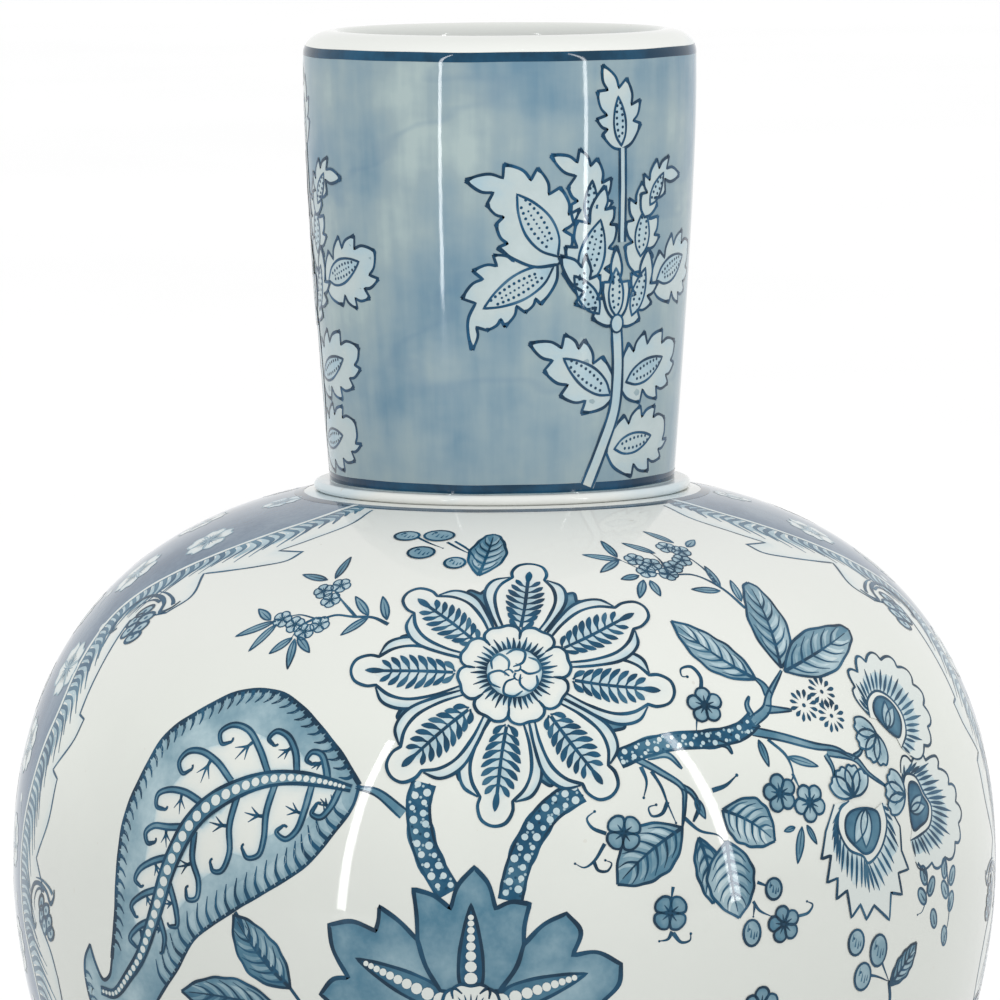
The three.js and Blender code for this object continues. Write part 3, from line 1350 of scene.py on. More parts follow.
def star(brush: Brush, radius: float) -> None:
    """Draws a star flower of separate dark rays about an eye."""
    rays = 12
    for i in range(rays):
        held = brush.moved(lean=i * 360 / rays + 7)
        held.stroke([(0, 0.42 * radius), (0, 0.74 * radius), (0, (0.98 + 0.06 * (i % 2)) * radius)], 0.95,
                    0.88, Touch.DROP)
    brush.dot(0, 0, 0.13 * radius, 0.88)


def curl(brush: Brush, points: Sequence[Place], width: float = 0.8, tone: float = 0.85) -> None:
    """Draws a tendril that thins towards a round end."""
    brush.stroke(points, width, tone, Touch.TAIL)
    x, y = points[-1]
    brush.dot(x, y, 0.4 * width, tone, Layer.LINE)


def beaded(brush: Brush, points: Sequence[Place], width: float, bead: float = 0.82,
           gap: float = 2.8) -> None:
    """Draws a dark stem with staggered pale beads and fine specks between them.

    Args:
        brush: The brush.
        points: The stem's middle line in mm.
        width: Its width in mm.
        bead: A bead's radius in mm.
        gap: Distance in mm between beads along the stem.
    """
    line = smooth(points)
    brush.stroke(line, width, 0.78, Touch.EVEN, ready=True, layer=Layer.WASH)
    along, side = travelled(line), leftward(line)
    for way in (1, -1):
        brush.stroke(line + side * way * (width / 2), 0.6, 0.93, Touch.EVEN, ready=True)
    count = int(along[-1] / gap * 2)
    for i in range(count):
        reach = (i + 0.5) * gap / 2
        x, y = spot_at(reach, along, line)
        off = (0.24 if i % 2 else -0.24) * width * (1 + 0.15 * math.sin(2.1 * i))
        across = spot_at(reach, along, side)
        brush.dot(x + off * across[0], y + off * across[1], bead * (1 + 0.2 * math.sin(1.3 * i)), 0.18)
    for i in range(count * 2):
        reach = (i + 0.2) * gap / 4
        x, y = spot_at(reach, along, line)
        off = 0.4 * width * math.sin(2.4 * i + 0.7)
        across = spot_at(reach, along, side)
        brush.dot(x + off * across[0], y + off * across[1], 0.34, 0.32 if i % 3 else 0.9, Layer.LINE)


def spiralled(points: Sequence[Place], way: float) -> Line:
    """Gives a smooth line whose end winds on a little, anticlockwise when the way is 1."""
    line = list(smooth(points))
    step = line[-1] - line[-2]
    heading = math.atan2(step[1], step[0])
    for i in range(3):
        heading += way * math.radians(30)
        stride = 0.5 * (1 - 0.1 * i)
        line.append(line[-1] + stride * np.array([math.cos(heading), math.sin(heading)]))
    return np.array(line)


def thorned(brush: Brush, points: Sequence[Place] | Line, width: float, fill: float = 0.55,
            ready: bool = False) -> None:
    """Draws a plain outlined stem that thins towards its end."""
    line = np.asarray(points) if ready else smooth(points)
    brush.stroke(line, width, fill, Touch.TAIL, ready=True, layer=Layer.WASH)
    side = leftward(line)
    press = Touch.TAIL.press(np.linspace(0, 1, len(line)))[:, None]
    for way in (1, -1):
        brush.stroke(line + side * way * press * (width / 2), 0.5, 0.9, Touch.LINE, ready=True)


# ------------------------------------------------------------------------- the motifs


class Slot(Enum):
    """The record's material slots, one named on each motif."""

    LINE = "cobalt_line"
    WASH = "cobalt_wash"
    GROUND = "panel_ground"
    NECK = "washed_neck"


@dataclass
class Motif:
    """One painted motif, which can be repeated round the vase.

    Attributes:
        name: What its pieces are called.
        turns: Degrees round the vase at which it is repeated.
        slot: The slot that its finish belongs to; not used.
        wall: The wall that it is painted on.
        again: How wide its repeats are beside the first, since they share the back's room.
    """

    name: str = "motif"
    turns: tuple[float, ...] = (0.0, 181.0)
    slot: Slot = Slot.LINE
    wall: Wall = field(default=BELLY, repr=False)
    again: float = 0.9

    def draw(self, skin: Skin) -> None:
        """Paints the motif once."""
        raise NotImplementedError

    def build(self, material: bpy.types.Material) -> list[bpy.types.Object]:
        """Makes the motif's pieces.

        Args:
            material: Their finish.

        Returns:
            One piece for each turn.
        """
        skin = Skin(self.wall)
        self.draw(skin)
        pieces = []
        for i, turn in enumerate(self.turns):
            suffix = f"_{i + 1}" if len(self.turns) > 1 else ""
            piece = skin.make(self.name + suffix, material, turn, self.again if i else 1.0)
            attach(piece, "root")
            pieces.append(piece)
        return pieces


@dataclass
class Rings(Motif):
    """Plain painted bands right round the vase.

    Attributes:
        bands: Each band's lower and upper height in mm, and its load.
        lift: Height above the wall in mm.
    """

    bands: tuple[tuple[float, float, float], ...] = ()
    turns: tuple[float, ...] = (0.0,)
    lift: float = Layer.LINE.value

    def draw(self, skin: Skin) -> None:
        """Paints the bands."""
        turn = ALL_ROUND
        for low, high, tone in self.bands:
            first, last = skin.wall.reach(low), skin.wall.reach(high)
            rows = np.linspace(first, last, max(2, math.ceil((last - first) / 1.2) + 1))
            wander = 0.05 * np.sin(7 * turn) + 0.04 * np.sin(13 * turn + 1)
            count, places = len(rows), []
            for along in rows:
                edge = np.full(ROUND, along) + wander
                places.append(np.stack([turn * skin.wall.radius(edge), edge], axis=1))
            faces = [
                (r * ROUND + i, r * ROUND + (i + 1) % ROUND, (r + 1) * ROUND + (i + 1) % ROUND,
                 (r + 1) * ROUND + i)
                for r in range(count - 1)
                for i in range(ROUND)
            ]
            load = tone * (1 + 0.04 * np.sin(5 * turn + 2) + 0.03 * np.sin(17 * turn))
            skin.add(np.concatenate(places), (0.0, 0.0), self.lift, np.tile(load, count), faces)


@dataclass
class NeckSprig(Motif):
    """A tall sprig of flame-toothed leaves that rises from the neck's foot to a last single leaf."""

    name: str = "neck_sprig"
    turns: tuple[float, ...] = (37.0, 157.0, -83.0)
    wall: Wall = field(default=NECK, repr=False)
    again: float = 1.0
    foot: float = 222.0
    stem_width: float = 3.2

    def stem(self, brush: Brush, points: Sequence[Place], width: float) -> None:
        """Draws a pale stem between two dark lines."""
        brush, line = brush.over(), smooth(points)
        brush.stroke(line, width, 0.22, Touch.EVEN, ready=True)
        side = leftward(line)
        for way in (1, -1):
            brush.stroke(line + side * way * width / 2, 0.66, 0.94, Touch.EVEN, ready=True,
                         layer=Layer.TOP)

    def draw(self, skin: Skin) -> None:
        """Paints the sprig, its farthest leaves first."""
        brush = Brush.at(skin, 0.0, self.foot)
        leaves: tuple[tuple[Place, list[Place], Place, list[Place], Seed], ...] = (
            ((-17, 55), [(-13, 62), (-11.5, 69), (-17, 74.5), (-23, 79.5), (-31.5, 80.5)], (-41, 76.5),
             [(-32.5, 59.5), (-33, 65.5), (-35.5, 70.5)], ((-17, 57), (-28, 73), 7.6)),
            ((-17, 55), [(-21, 45), (-25, 43), (-30, 39.5), (-34.5, 38.5)], (-38, 33.5),
             [(-28, 58.5), (-33.5, 57.5), (-38.5, 53.5), (-41, 46.5)], ((-18, 54.5), (-35.5, 44), 6.6)),
            ((-10, 62), [(-4, 66), (-2.0, 70.5), (-2.6, 76.5), (-7, 81.5), (-12, 84)], (-19.5, 82.6),
             [(-14, 70), (-14.8, 74.6)], ((-8.6, 65), (-8.2, 76), 3.6)),
            ((-8, 46), [(-1.5, 52), (0, 58), (-0.5, 64.5), (-1.5, 69)], (-4.5, 74.5),
             [(-15.5, 53), (-15, 59.5), (-12, 66)], ((-9.5, 49), (-5.5, 66), 7.2)),
            ((6, 52), [(13, 56), (15.5, 61), (14.5, 66)], (8, 75), [(2.5, 59), (2.5, 65), (3.5, 71)],
             ((8, 56), (9, 68), 5.2)),
            ((9, 66), [(14, 69), (17.5, 72)], (25, 76), [(7.5, 72), (8.5, 77), (13.5, 80.5), (19, 81)],
             ((11, 69), (16.5, 77), 3.6)),
            ((13, 48), [(22, 43.5), (28, 43), (33, 46), (36.5, 51)], (36, 58),
             [(16, 57), (22, 61), (29, 61.5)], ((15, 49.5), (30, 55), 6.2)),
            ((0, 39), [(-7, 41), (-12, 45)], (-16.5, 57), [(-3, 46), (-5.5, 52), (-9.5, 57)],
             ((-5, 42), (-12.5, 52), 5.0)),
            ((1, 39), [(8.5, 40), (13, 44), (15.5, 49)], (11, 58), [(4, 46), (5, 52)],
             ((5.5, 41), (10, 53), 4.6)),
            ((0.5, 39.5), [(4.2, 50)], (-0.5, 59), [(-4.4, 50)], ((0.2, 41), (-0.4, 53.5), 4.6)),
            ((0.5, 20.5), [(-3.5, 31), (-9, 35.5), (-14.5, 37)], (-23.5, 35),
             [(-9, 16.8), (-15, 21.5), (-19.5, 28)],
             ((-0.5, 21), (-14.5, 31), 5.6)),
            ((3, 22), [(10, 18.5), (17.5, 19), (23.5, 22.5), (27, 27.5)], (27, 33),
             [(5, 34), (11, 36.5), (19, 36.5)],
             ((4.5, 24), (19.5, 29.5), 5.4)),
            ((-1, 6), [(8, -0.5), (15, 0.5), (21, 3.5), (24.5, 8)], (22.5, 13.5),
             [(4.5, 15.5), (10.5, 17.5), (17, 17)],
             ((1.5, 7), (15.5, 9.5), 5.0)),
        )
        for level, (base, right, tip, left, seed) in zip((1, 0, 1, 2, 1, 2, 0, 3, 2, 4, 0, 0, 0), leaves):
            flame_leaf(brush.over(level), base, right, tip, left, seed)
        self.stem(brush, [(0.5, 39), (1.5, 28), (1, 17.5), (-2, 9), (-6.5, -2)], self.stem_width)
        self.stem(brush, [(0.8, 84), (1.2, 72), (1.4, 60)], 1.9)
        flame_leaf(brush, (0.5, 83.5), [(6.8, 90), (6.5, 96), (1.8, 101.5)], (-5.5, 105),
                   [(-5.5, 87.5), (-7.2, 91.5), (-7, 98.5)],
                   ((0.4, 84.5), (-0.8, 97), 3.8))
        brush.over(5).dot(0.5, 39.3, 1.9, 0.22, Layer.LINE, 1.2)
        brush.over(5).ring(round_spot(0.5, 39.3, 1.9, 1.2), 0.5, 0.9)


@dataclass
class Lotus(Motif):
    """The open flower high on the panel, with eight bulb-tipped petals about a ruffled heart."""

    name: str = "lotus"
    centre: Place = (1.4, 181.0)
    tips: tuple[Place, ...] = (
        (4.9, 204.7), (21.2, 194.6), (21.7, 175.4), (12.2, 151.9), (-1.3, 145.3), (-13.1, 156.8),
        (-20.0, 181.2), (-14.7, 198.6)
    )
    heart: float = 6.8
    full: float = 36.5

    def petal(self, brush: Brush, length: float) -> None:
        """Draws one petal, from the ring up to its tip.

        Args:
            brush: The brush at the flower's middle, pointing to the petal's tip.
            length: Distance in mm from the middle to the tip.
        """
        tall = length / self.full

        def up(points: Sequence[Place]) -> list[Place]:
            """Stretches points to the petal's length."""
            return [(x, y * tall) for x, y in points]

        margin = up([(5.2, 11.5), (8.0, 17.0), (10.0, 22.5), (9.8, 26.0), (8.2, 28.8), (4.6, 30.4)])
        edge = up([(3.4, 11.0), (6.2, 17.0), (7.5, 23.0), (6.5, 27.2), (4.0, 30.4)])
        bulb = up([(4.0, 30.4), (4.3, 32.6), (2.9, 35.5), (0.0, 36.5), (-2.9, 35.5), (-4.3, 32.6),
                   (-4.0, 30.4)])
        head, foot = [margin[-1], (-margin[-1][0], margin[-1][1])], [(-5.2, 11.5 * tall),
                                                                     (5.2, 11.5 * tall)]
        brush.wash(joined(margin, head, mirrored(margin), foot), 0.05, 0.2, 0.8)
        whole = joined(edge, bulb, mirrored(edge), [(-3.4, 11 * tall), (3.4, 11 * tall)])
        brush.wash(whole, 0.05, 0.0, 1.5, layer=Layer.LINE)
        brush.stroke(np.concatenate([smooth(edge), smooth(bulb)[1:], smooth(mirrored(edge))[1:]]), 0.75,
                     0.9, ready=True, layer=Layer.TOP)
        for side in (margin, [(-x, y) for x, y in margin]):
            brush.stroke(side, 0.72, 0.92, layer=Layer.LINE)
        self.fern(brush, tall)

    def fern(self, brush: Brush, tall: float) -> None:
        """Draws the fern-like veins inside a petal."""
        shade = [(x, y * tall) for x, y in ((0, 12.5), (3.2, 15.5), (3.9, 22.0), (2.8, 28.0), (0, 32.0))]
        brush = brush.over()
        brush.wash(doubled(shade), 0.27, 0.04, 1.4, 2.0)
        brush.stroke([(0, 13.4 * tall), (0.2, 20 * tall), (0, 29 * tall)], 0.75, 0.9, Touch.EVEN,
                     layer=Layer.TOP)
        brush.stroke([(0, 27.6 * tall), (0, 30 * tall), (0, 33.2 * tall)], 1.5, 0.88, Touch.DROP,
                     layer=Layer.TOP)
        for i in range(8):
            start = 13.0 + 2.0 * i
            reach = (3.0, 3.7, 4.3, 4.7, 4.8, 4.5, 3.9, 3.0)[i]
            for side in (1, -1):
                points = [(0.2 * side, start * tall), (0.55 * reach * side, (start + 0.9) * tall),
                          (reach * side, (start + 2.6) * tall)]
                brush.stroke(points, 1.25, 0.84, Touch.DROP, layer=Layer.TOP)
                brush.stroke(points[:2], 0.42, 0.84, Touch.EVEN, layer=Layer.TOP)

    def sepal(self, brush: Brush, reach: float) -> None:
        """Draws the dark two-pointed sepal that shows between two petals.

        Args:
            brush: The brush at the flower's middle, pointing between the petals.
            reach: Distance in mm from the middle to about the sepal's points.
        """
        outline = arched([
            (0, reach - 10), (2.2, reach - 6.0), (3.8, reach - 2.6), (3.2, reach + 0.2),
            (0.8, reach - 0.8),
            (-1.4, reach + 1.2), (-3.8, reach - 2.0), (-2.2, reach - 6.0), (0, reach - 10),
        ])
        brush.shape(outline, 0.46, 0.75, 0.95, 0.66, 1.2)

    def build_heart(self, brush: Brush) -> None:
        """Draws the ruffled white ring, its dark hairs and the swirl in the middle."""
        lobes = 8
        for i in range(lobes):
            held = brush.moved(lean=i * 360 / lobes + 14)
            side = [(4.5, 10.9), (4.1, 12.6), (2.3, 13.8), (0, 13.7)]
            outline = joined([(0, 8.0), (3.4, 8.6), (4.5, 10.9)], side, mirrored(side),
                             [(-4.5, 10.9), (-3.4, 8.6), (0, 8.0)])
            held.wash(outline, 0.0, 0.1, 0.8, 2.0)
            held.stroke([(3.7, 8.9)] + side + mirrored(side)[1:] + [(-3.7, 8.9)], 0.7, 0.88, Touch.LINE)
        brush.wash(round_spot(0, 0, 9.8), 0.3, 0.0, 1.2, 1.6, Layer.LINE)
        top = brush.over()
        for i in range(40):
            held = brush.moved(lean=i * 9)
            far = 10.1 + 0.7 * math.sin(2.7 * i)
            held.stroke([(0, self.heart - 0.3), (0.1, 8.4), (0, far)], 0.95, 0.9, Touch.TAIL,
                        layer=Layer.TOP)
        top.wash(round_spot(0, 0, self.heart), 0.02, 0.3, 0.7, 1.6)
        for i in range(6):
            held = top.moved(lean=i * 60 + 10)
            held.stroke([(0, 1.6), (2.6, 2.4), (3.6, 5.2), (1.4, 6.4), (-1.0, 5.4)], 0.55, 0.72,
                        Touch.LINE, layer=Layer.TOP)
        for i in range(3):
            held = top.moved(lean=i * 120)
            held.stroke([(0, 0.3), (1.2, 0.6), (1.5, 1.8), (0.3, 2.5)], 0.5, 0.66, Touch.TAIL,
                        layer=Layer.TOP)

    def draw(self, skin: Skin) -> None:
        """Paints the whole flower."""
        held = [Brush.between(skin, self.centre, tip) for tip in self.tips]
        for i in range(len(held)):
            own = Brush.at(skin, *self.centre)
            start = own.places([self.tips[i], self.tips[(i + 1) % len(self.tips)]])
            way = start[0] / np.linalg.norm(start[0]) + start[1] / np.linalg.norm(start[1])
            aim, _ = own.aimed((0, 0), tuple(way))
            self.sepal(aim, 0.37 * (np.linalg.norm(start[0]) + np.linalg.norm(start[1])))
        for i, (brush, length) in enumerate(held):
            self.petal(brush.over(1 + i % 2), length)
        self.build_heart(Brush.at(skin, *self.centre, 4))


@dataclass
class LowerLotus(Motif):
    """The washed flower low on the panel, its six petals cut into three points."""

    name: str = "lower_lotus"
    slot: Slot = Slot.WASH
    centre: Place = (-3.8, 103.0)
    middle: float = -5.0

    def petal(self, brush: Brush, outline: Line, start: Place, end: Place) -> None:
        """Draws one petal and the beaded almond on it."""
        brush.shape(outline, 0.46, 0.95, 0.95, 0.6, 2.6)
        held, length = brush.aimed(start, end)
        core = doubled([(0, 0), (2.6, 3.5), (3.0, 0.4 * length), (1.7, 0.75 * length), (0, length)])
        held.wash(core, 0.74, layer=Layer.LINE)
        held.ring(core, 0.7, 0.97)
        place, radius, beads = 1.6, 1.9, held.over()
        while place < length - 2.4:
            beads.dot(0, place, radius, 0.03, tall=0.95)
            place += radius * 1.85
            radius = 1.9 * (1 - 0.72 * place / length)

    def draw(self, skin: Skin) -> None:
        """Paints the flower, its lower half the upper one's mirror image."""
        brush = Brush.at(skin, *self.centre)
        mirror = Brush(skin, brush.origin,
                       brush.frame @ np.array([[1.0, 0, 0], [0, -1.0, 2 * self.middle], [0, 0, 1.0]]))
        left = arched([
            (-13, 14.5), (-17.5, 19), (-22.5, 22.5), (-22.8, 19), (-23.5, 16.5), (-29.5, 18.6),
            (-35.5, 17.5), (-34.5, 11.5), (-30.6, 4.6), (-34.5, 4), (-38, 0), (-33, -3.6),
            (-26, -5), (-7, -5), (-7, 2.5), (-10.5, 8), (-13, 14.5),
        ])
        right = arched([
            (13, 13.5), (18, 18.4), (23.5, 21), (27, 16.5), (25, 10.6), (31, 11.2),
            (37, 8), (36.4, 3), (32, -1.6), (35.5, -2.5), (38, -4.4), (32, -5.2),
            (26, -5), (7, -5), (7, 2.5), (10.6, 8), (13, 13.5),
        ])
        top = arched([
            (7, 2), (11.2, 8), (13, 13.5), (13.2, 18), (14.5, 23.5), (10, 24),
            (6.2, 22.4), (4.4, 28.5), (1, 32.5), (-3, 28), (-4.8, 22.4), (-9, 25.5),
            (-14, 27), (-13.2, 20.5), (-13, 14.5), (-11, 8), (-7.5, 2), (0, 1), (7, 2),
        ])
        for held in (brush, mirror):
            self.petal(held, left, (-6, -1), (-28.5, 9.5))
            self.petal(held, right, (6, -1), (28.5, 6))
            self.petal(held.over(), top, (0, 0), (0.2, 23.5))
        brush = brush.over(3)
        for i in range(6):
            held = brush.moved(0, self.middle, 60 * i)
            side = [(4.4, 5.0), (4.6, 7.2), (2.6, 8.6), (0, 8.3)]
            outline = joined([(0, 1.0), (3.6, 3.6), (4.4, 5.0)], side, mirrored(side),
                             [(-4.4, 5.0), (-3.6, 3.6), (0, 1.0)])
            held.wash(outline, 0.02)
            held.stroke(side + mirrored(side)[1:], 0.7, 0.9)
        for i in range(24):
            held = brush.moved(0, self.middle, 15 * i)
            held.stroke([(0, 3.4), (0, 6.2)], 0.6, 0.85, Touch.TAIL, layer=Layer.TOP)
        berry(brush.over().moved(0, self.middle), 3.2, 1.0, 0.5)


@dataclass
class Paisley(Motif):
    """The great curled leaf at the left, with a beaded rib and hooked tendrils."""

    name: str = "paisley_leaf"
    slot: Slot = Slot.WASH
    place: Place = (-34.0, 140.0)
    crest: tuple[Place, ...] = (
        (37, 15), (32, 21), (27.5, 25.5), (18.5, 33), (9.5, 37.5), (-1, 37), (-11.5, 31.5), (-22, 23.5),
        (-27.5, 13.5),
        (-32.5, 1.5), (-34, -11), (-35, -24), (-37, -34)
    )
    hook: tuple[Place, ...] = ((-37, -34), (-38.6, -38.5), (-41.5, -40), (-44.6, -36), (-46.5, -31.5))
    tail: tuple[Place, ...] = ((-46.5, -31.5), (-49.4, -35.5), (-50, -41), (-48, -48), (-42, -53.5),
                               (-33, -53), (-25, -48), (-19, -41))
    keel: tuple[Place, ...] = (
        (-19, -41), (-12.5, -33.5), (-7, -26), (4, -18.5), (15, -12), (25.5, -5), (31.5, 2.5), (36, 9.5),
        (37, 15)
    )
    rib: tuple[Place, ...] = (
        (35, 14), (27.5, 15.4), (19.5, 16), (11.5, 15), (3.5, 12), (-4, 7.5), (-9, 2.5), (-13, -4),
        (-16, -10.5),
        (-18.5, -17.5), (-21.5, -24.5), (-25.5, -32), (-31, -38), (-37, -43), (-43, -43)
    )
    upper: tuple[tuple[Place, ...], ...] = (
        ((28.5, 16), (27.5, 19), (25.6, 22.2), (23, 22.6), (22, 20.6), (23.6, 19.6)),
        ((20, 17.5), (18.5, 22.5), (15.4, 26.4), (12, 27.4), (10.4, 25.4), (12.2, 23.8)),
        ((12, 17), (8.5, 22.5), (4, 27.2), (-1, 28.2), (-4.2, 26), (-3, 23.2), (-0.4, 23.8)),
        ((2, 14), (-3.5, 18.6), (-9, 20.8), (-13.4, 20.2), (-15.4, 17.4), (-13.6, 14.8), (-11, 16)),
        ((-5.5, 7.8), (-12, 10.2), (-17.4, 10.4), (-21, 8.8), (-21, 6), (-18, 5.4)),
        ((-10, 1.8), (-16, 1.2), (-21.4, 1), (-24, -1), (-23, -3.4), (-20.6, -3)),
        ((-14.6, -6), (-21, -7.8), (-25.6, -10.4), (-27, -13), (-25, -14.4)),
        ((-18.4, -14.4), (-24.6, -16.6), (-28.4, -19.6), (-27, -22)),
        ((-21.4, -22.6), (-26.4, -25), (-29.2, -28), (-27, -29.8)),
    )
    under: tuple[tuple[Place, ...], ...] = (
        ((32, 13.6), (30.5, 9.5), (28, 6.6), (25.6, 7.4), (26.6, 9.8)),
        ((24.6, 14.4), (23.6, 8), (22, 3), (19.2, 0.8), (16.6, 2.4), (18.2, 4)),
        ((14.6, 14), (13.2, 7), (13.2, 0.5), (12, -3.6), (8.8, -4.4), (7.2, -2.2)),
        ((4.4, 10.6), (3, 3), (3.6, -3.5), (1.5, -8.2), (-1, -8.4), (-2, -6.4)),
        ((-7.4, 0.8), (-7.6, -6), (-5.4, -11.5), (-6, -15.6), (-8.8, -16), (-9.4, -13.6)),
        ((-15, -12.4), (-12.6, -19), (-12.4, -23), (-14.6, -23.4)),
        ((-18.6, -20.8), (-16.6, -26.5), (-17.4, -30)),
    )

    def pockets(self, brush: Brush) -> None:
        """Leaves the ground bare inside each tendril's curl."""
        for group in (self.upper, self.under):
            for own, other in zip(group[:-1], group[1:]):
                curve, beyond = smooth(own[:-1]), smooth(other)
                outline = np.concatenate([curve, beyond[: int(len(beyond) * 0.42)][::-1]])
                brush.wash(outline, 0.0, 0.3, 0.9, 1.5, Layer.LINE)

    def tendril(self, brush: Brush, points: Sequence[Place], way: float) -> None:
        """Draws one hooked tendril with a forked thorn on its inner side."""
        line = spiralled(points, way)
        along = travelled(line)
        thorned(brush.over(), line, 1.5, 0.62, True)
        spot = int(np.searchsorted(along, 0.3 * along[-1]))
        ahead = line[spot + 1] - line[spot]
        ahead /= np.linalg.norm(ahead)
        out = np.array([-ahead[1], ahead[0]]) * way
        reach = 0.24 * along[-1]
        for drift, share in ((-0.1, 1.0), (0.35, 0.8), (-0.5, 0.7)):
            tip = line[spot] + share * reach * (out + drift * ahead)
            root, bend = line[spot] + 0.3 * out, line[spot] + 0.4 * share * reach * out
            brush.stroke([root, bend, tip], 0.8, 0.86, Touch.TAIL, layer=Layer.TOP)

    def fringe(self, brush: Brush, edge: Sequence[Place], gap: float, length: float, slant: float,
               tone: float) -> None:
        """Hatches inward from an edge.

        Args:
            brush: The brush.
            edge: The edge, with the leaf on its left.
            gap: Distance in mm between strokes.
            length: Their length in mm.
            slant: How far in mm they lean along the edge.
            tone: Their load.
        """
        line = smooth(edge)
        along = travelled(line)
        for reach in np.arange(gap, along[-1] - gap, gap):
            here, next_one = spot_at(reach, along, line), spot_at(reach + 0.5, along, line)
            ahead = (next_one - here) / np.linalg.norm(next_one - here)
            inward = np.array([-ahead[1], ahead[0]])
            pale = here + 0.5 * gap * ahead
            bend = pale + 0.55 * length * inward + 0.2 * slant * ahead
            brush.stroke([pale, bend, pale + 0.8 * length * inward + slant * ahead], 0.5 * gap,
                         tone - 0.5, Touch.DROP)
            bend = here + 0.5 * length * inward + 0.1 * slant * ahead
            brush.stroke([here, bend, here + length * inward + slant * ahead], 0.95, tone, Touch.TAIL)

    def draw(self, skin: Skin) -> None:
        """Paints the leaf."""
        brush = Brush.at(skin, *self.place)
        outline = joined(self.crest, self.hook, self.tail, self.keel)
        brush.wash(outline, 0.34, 0.46, 3.5)
        self.pockets(brush)
        self.fringe(brush, self.crest, 3.1, 3.4, 1.8, 0.9)
        self.fringe(brush, self.keel[:-1], 3.3, 6.6, 2.6, 0.84)
        brush.stroke(smooth(self.crest), 1.15, 0.96, Touch.EVEN, ready=True)
        for run in (self.hook, self.tail, self.keel):
            brush.stroke(run, 0.8, 0.93, Touch.EVEN)
        self.fringe(brush, self.tail[1:-1], 3.4, 3.4, 1.5, 0.86)
        for points in self.upper:
            self.tendril(brush, points, 1.0)
        for points in self.under:
            self.tendril(brush, points, -1.0)
        line = smooth(self.rib)
        along = travelled(line)
        share = along / along[-1]
        girth = np.interp(share, (0, 0.1, 0.35, 0.6, 0.85, 1), (0.6, 1.3, 2.3, 2.1, 1.3, 0.8))
        side = leftward(line) * girth[:, None]
        band = np.concatenate([line + side, (line - side)[::-1]])
        brush = brush.over(2)
        brush.wash(band, 0.6)
        for way in (1, -1):
            brush.stroke(line + side * way, 0.75, 0.93, Touch.EVEN, ready=True)
        reach, beads = 2.0, brush.over()
        while reach < along[-1] - 1:
            radius = float(np.interp(reach, along, girth)) * 0.6
            beads.dot(*spot_at(reach, along, line), radius, 0.06)
            reach += 2.5 * radius


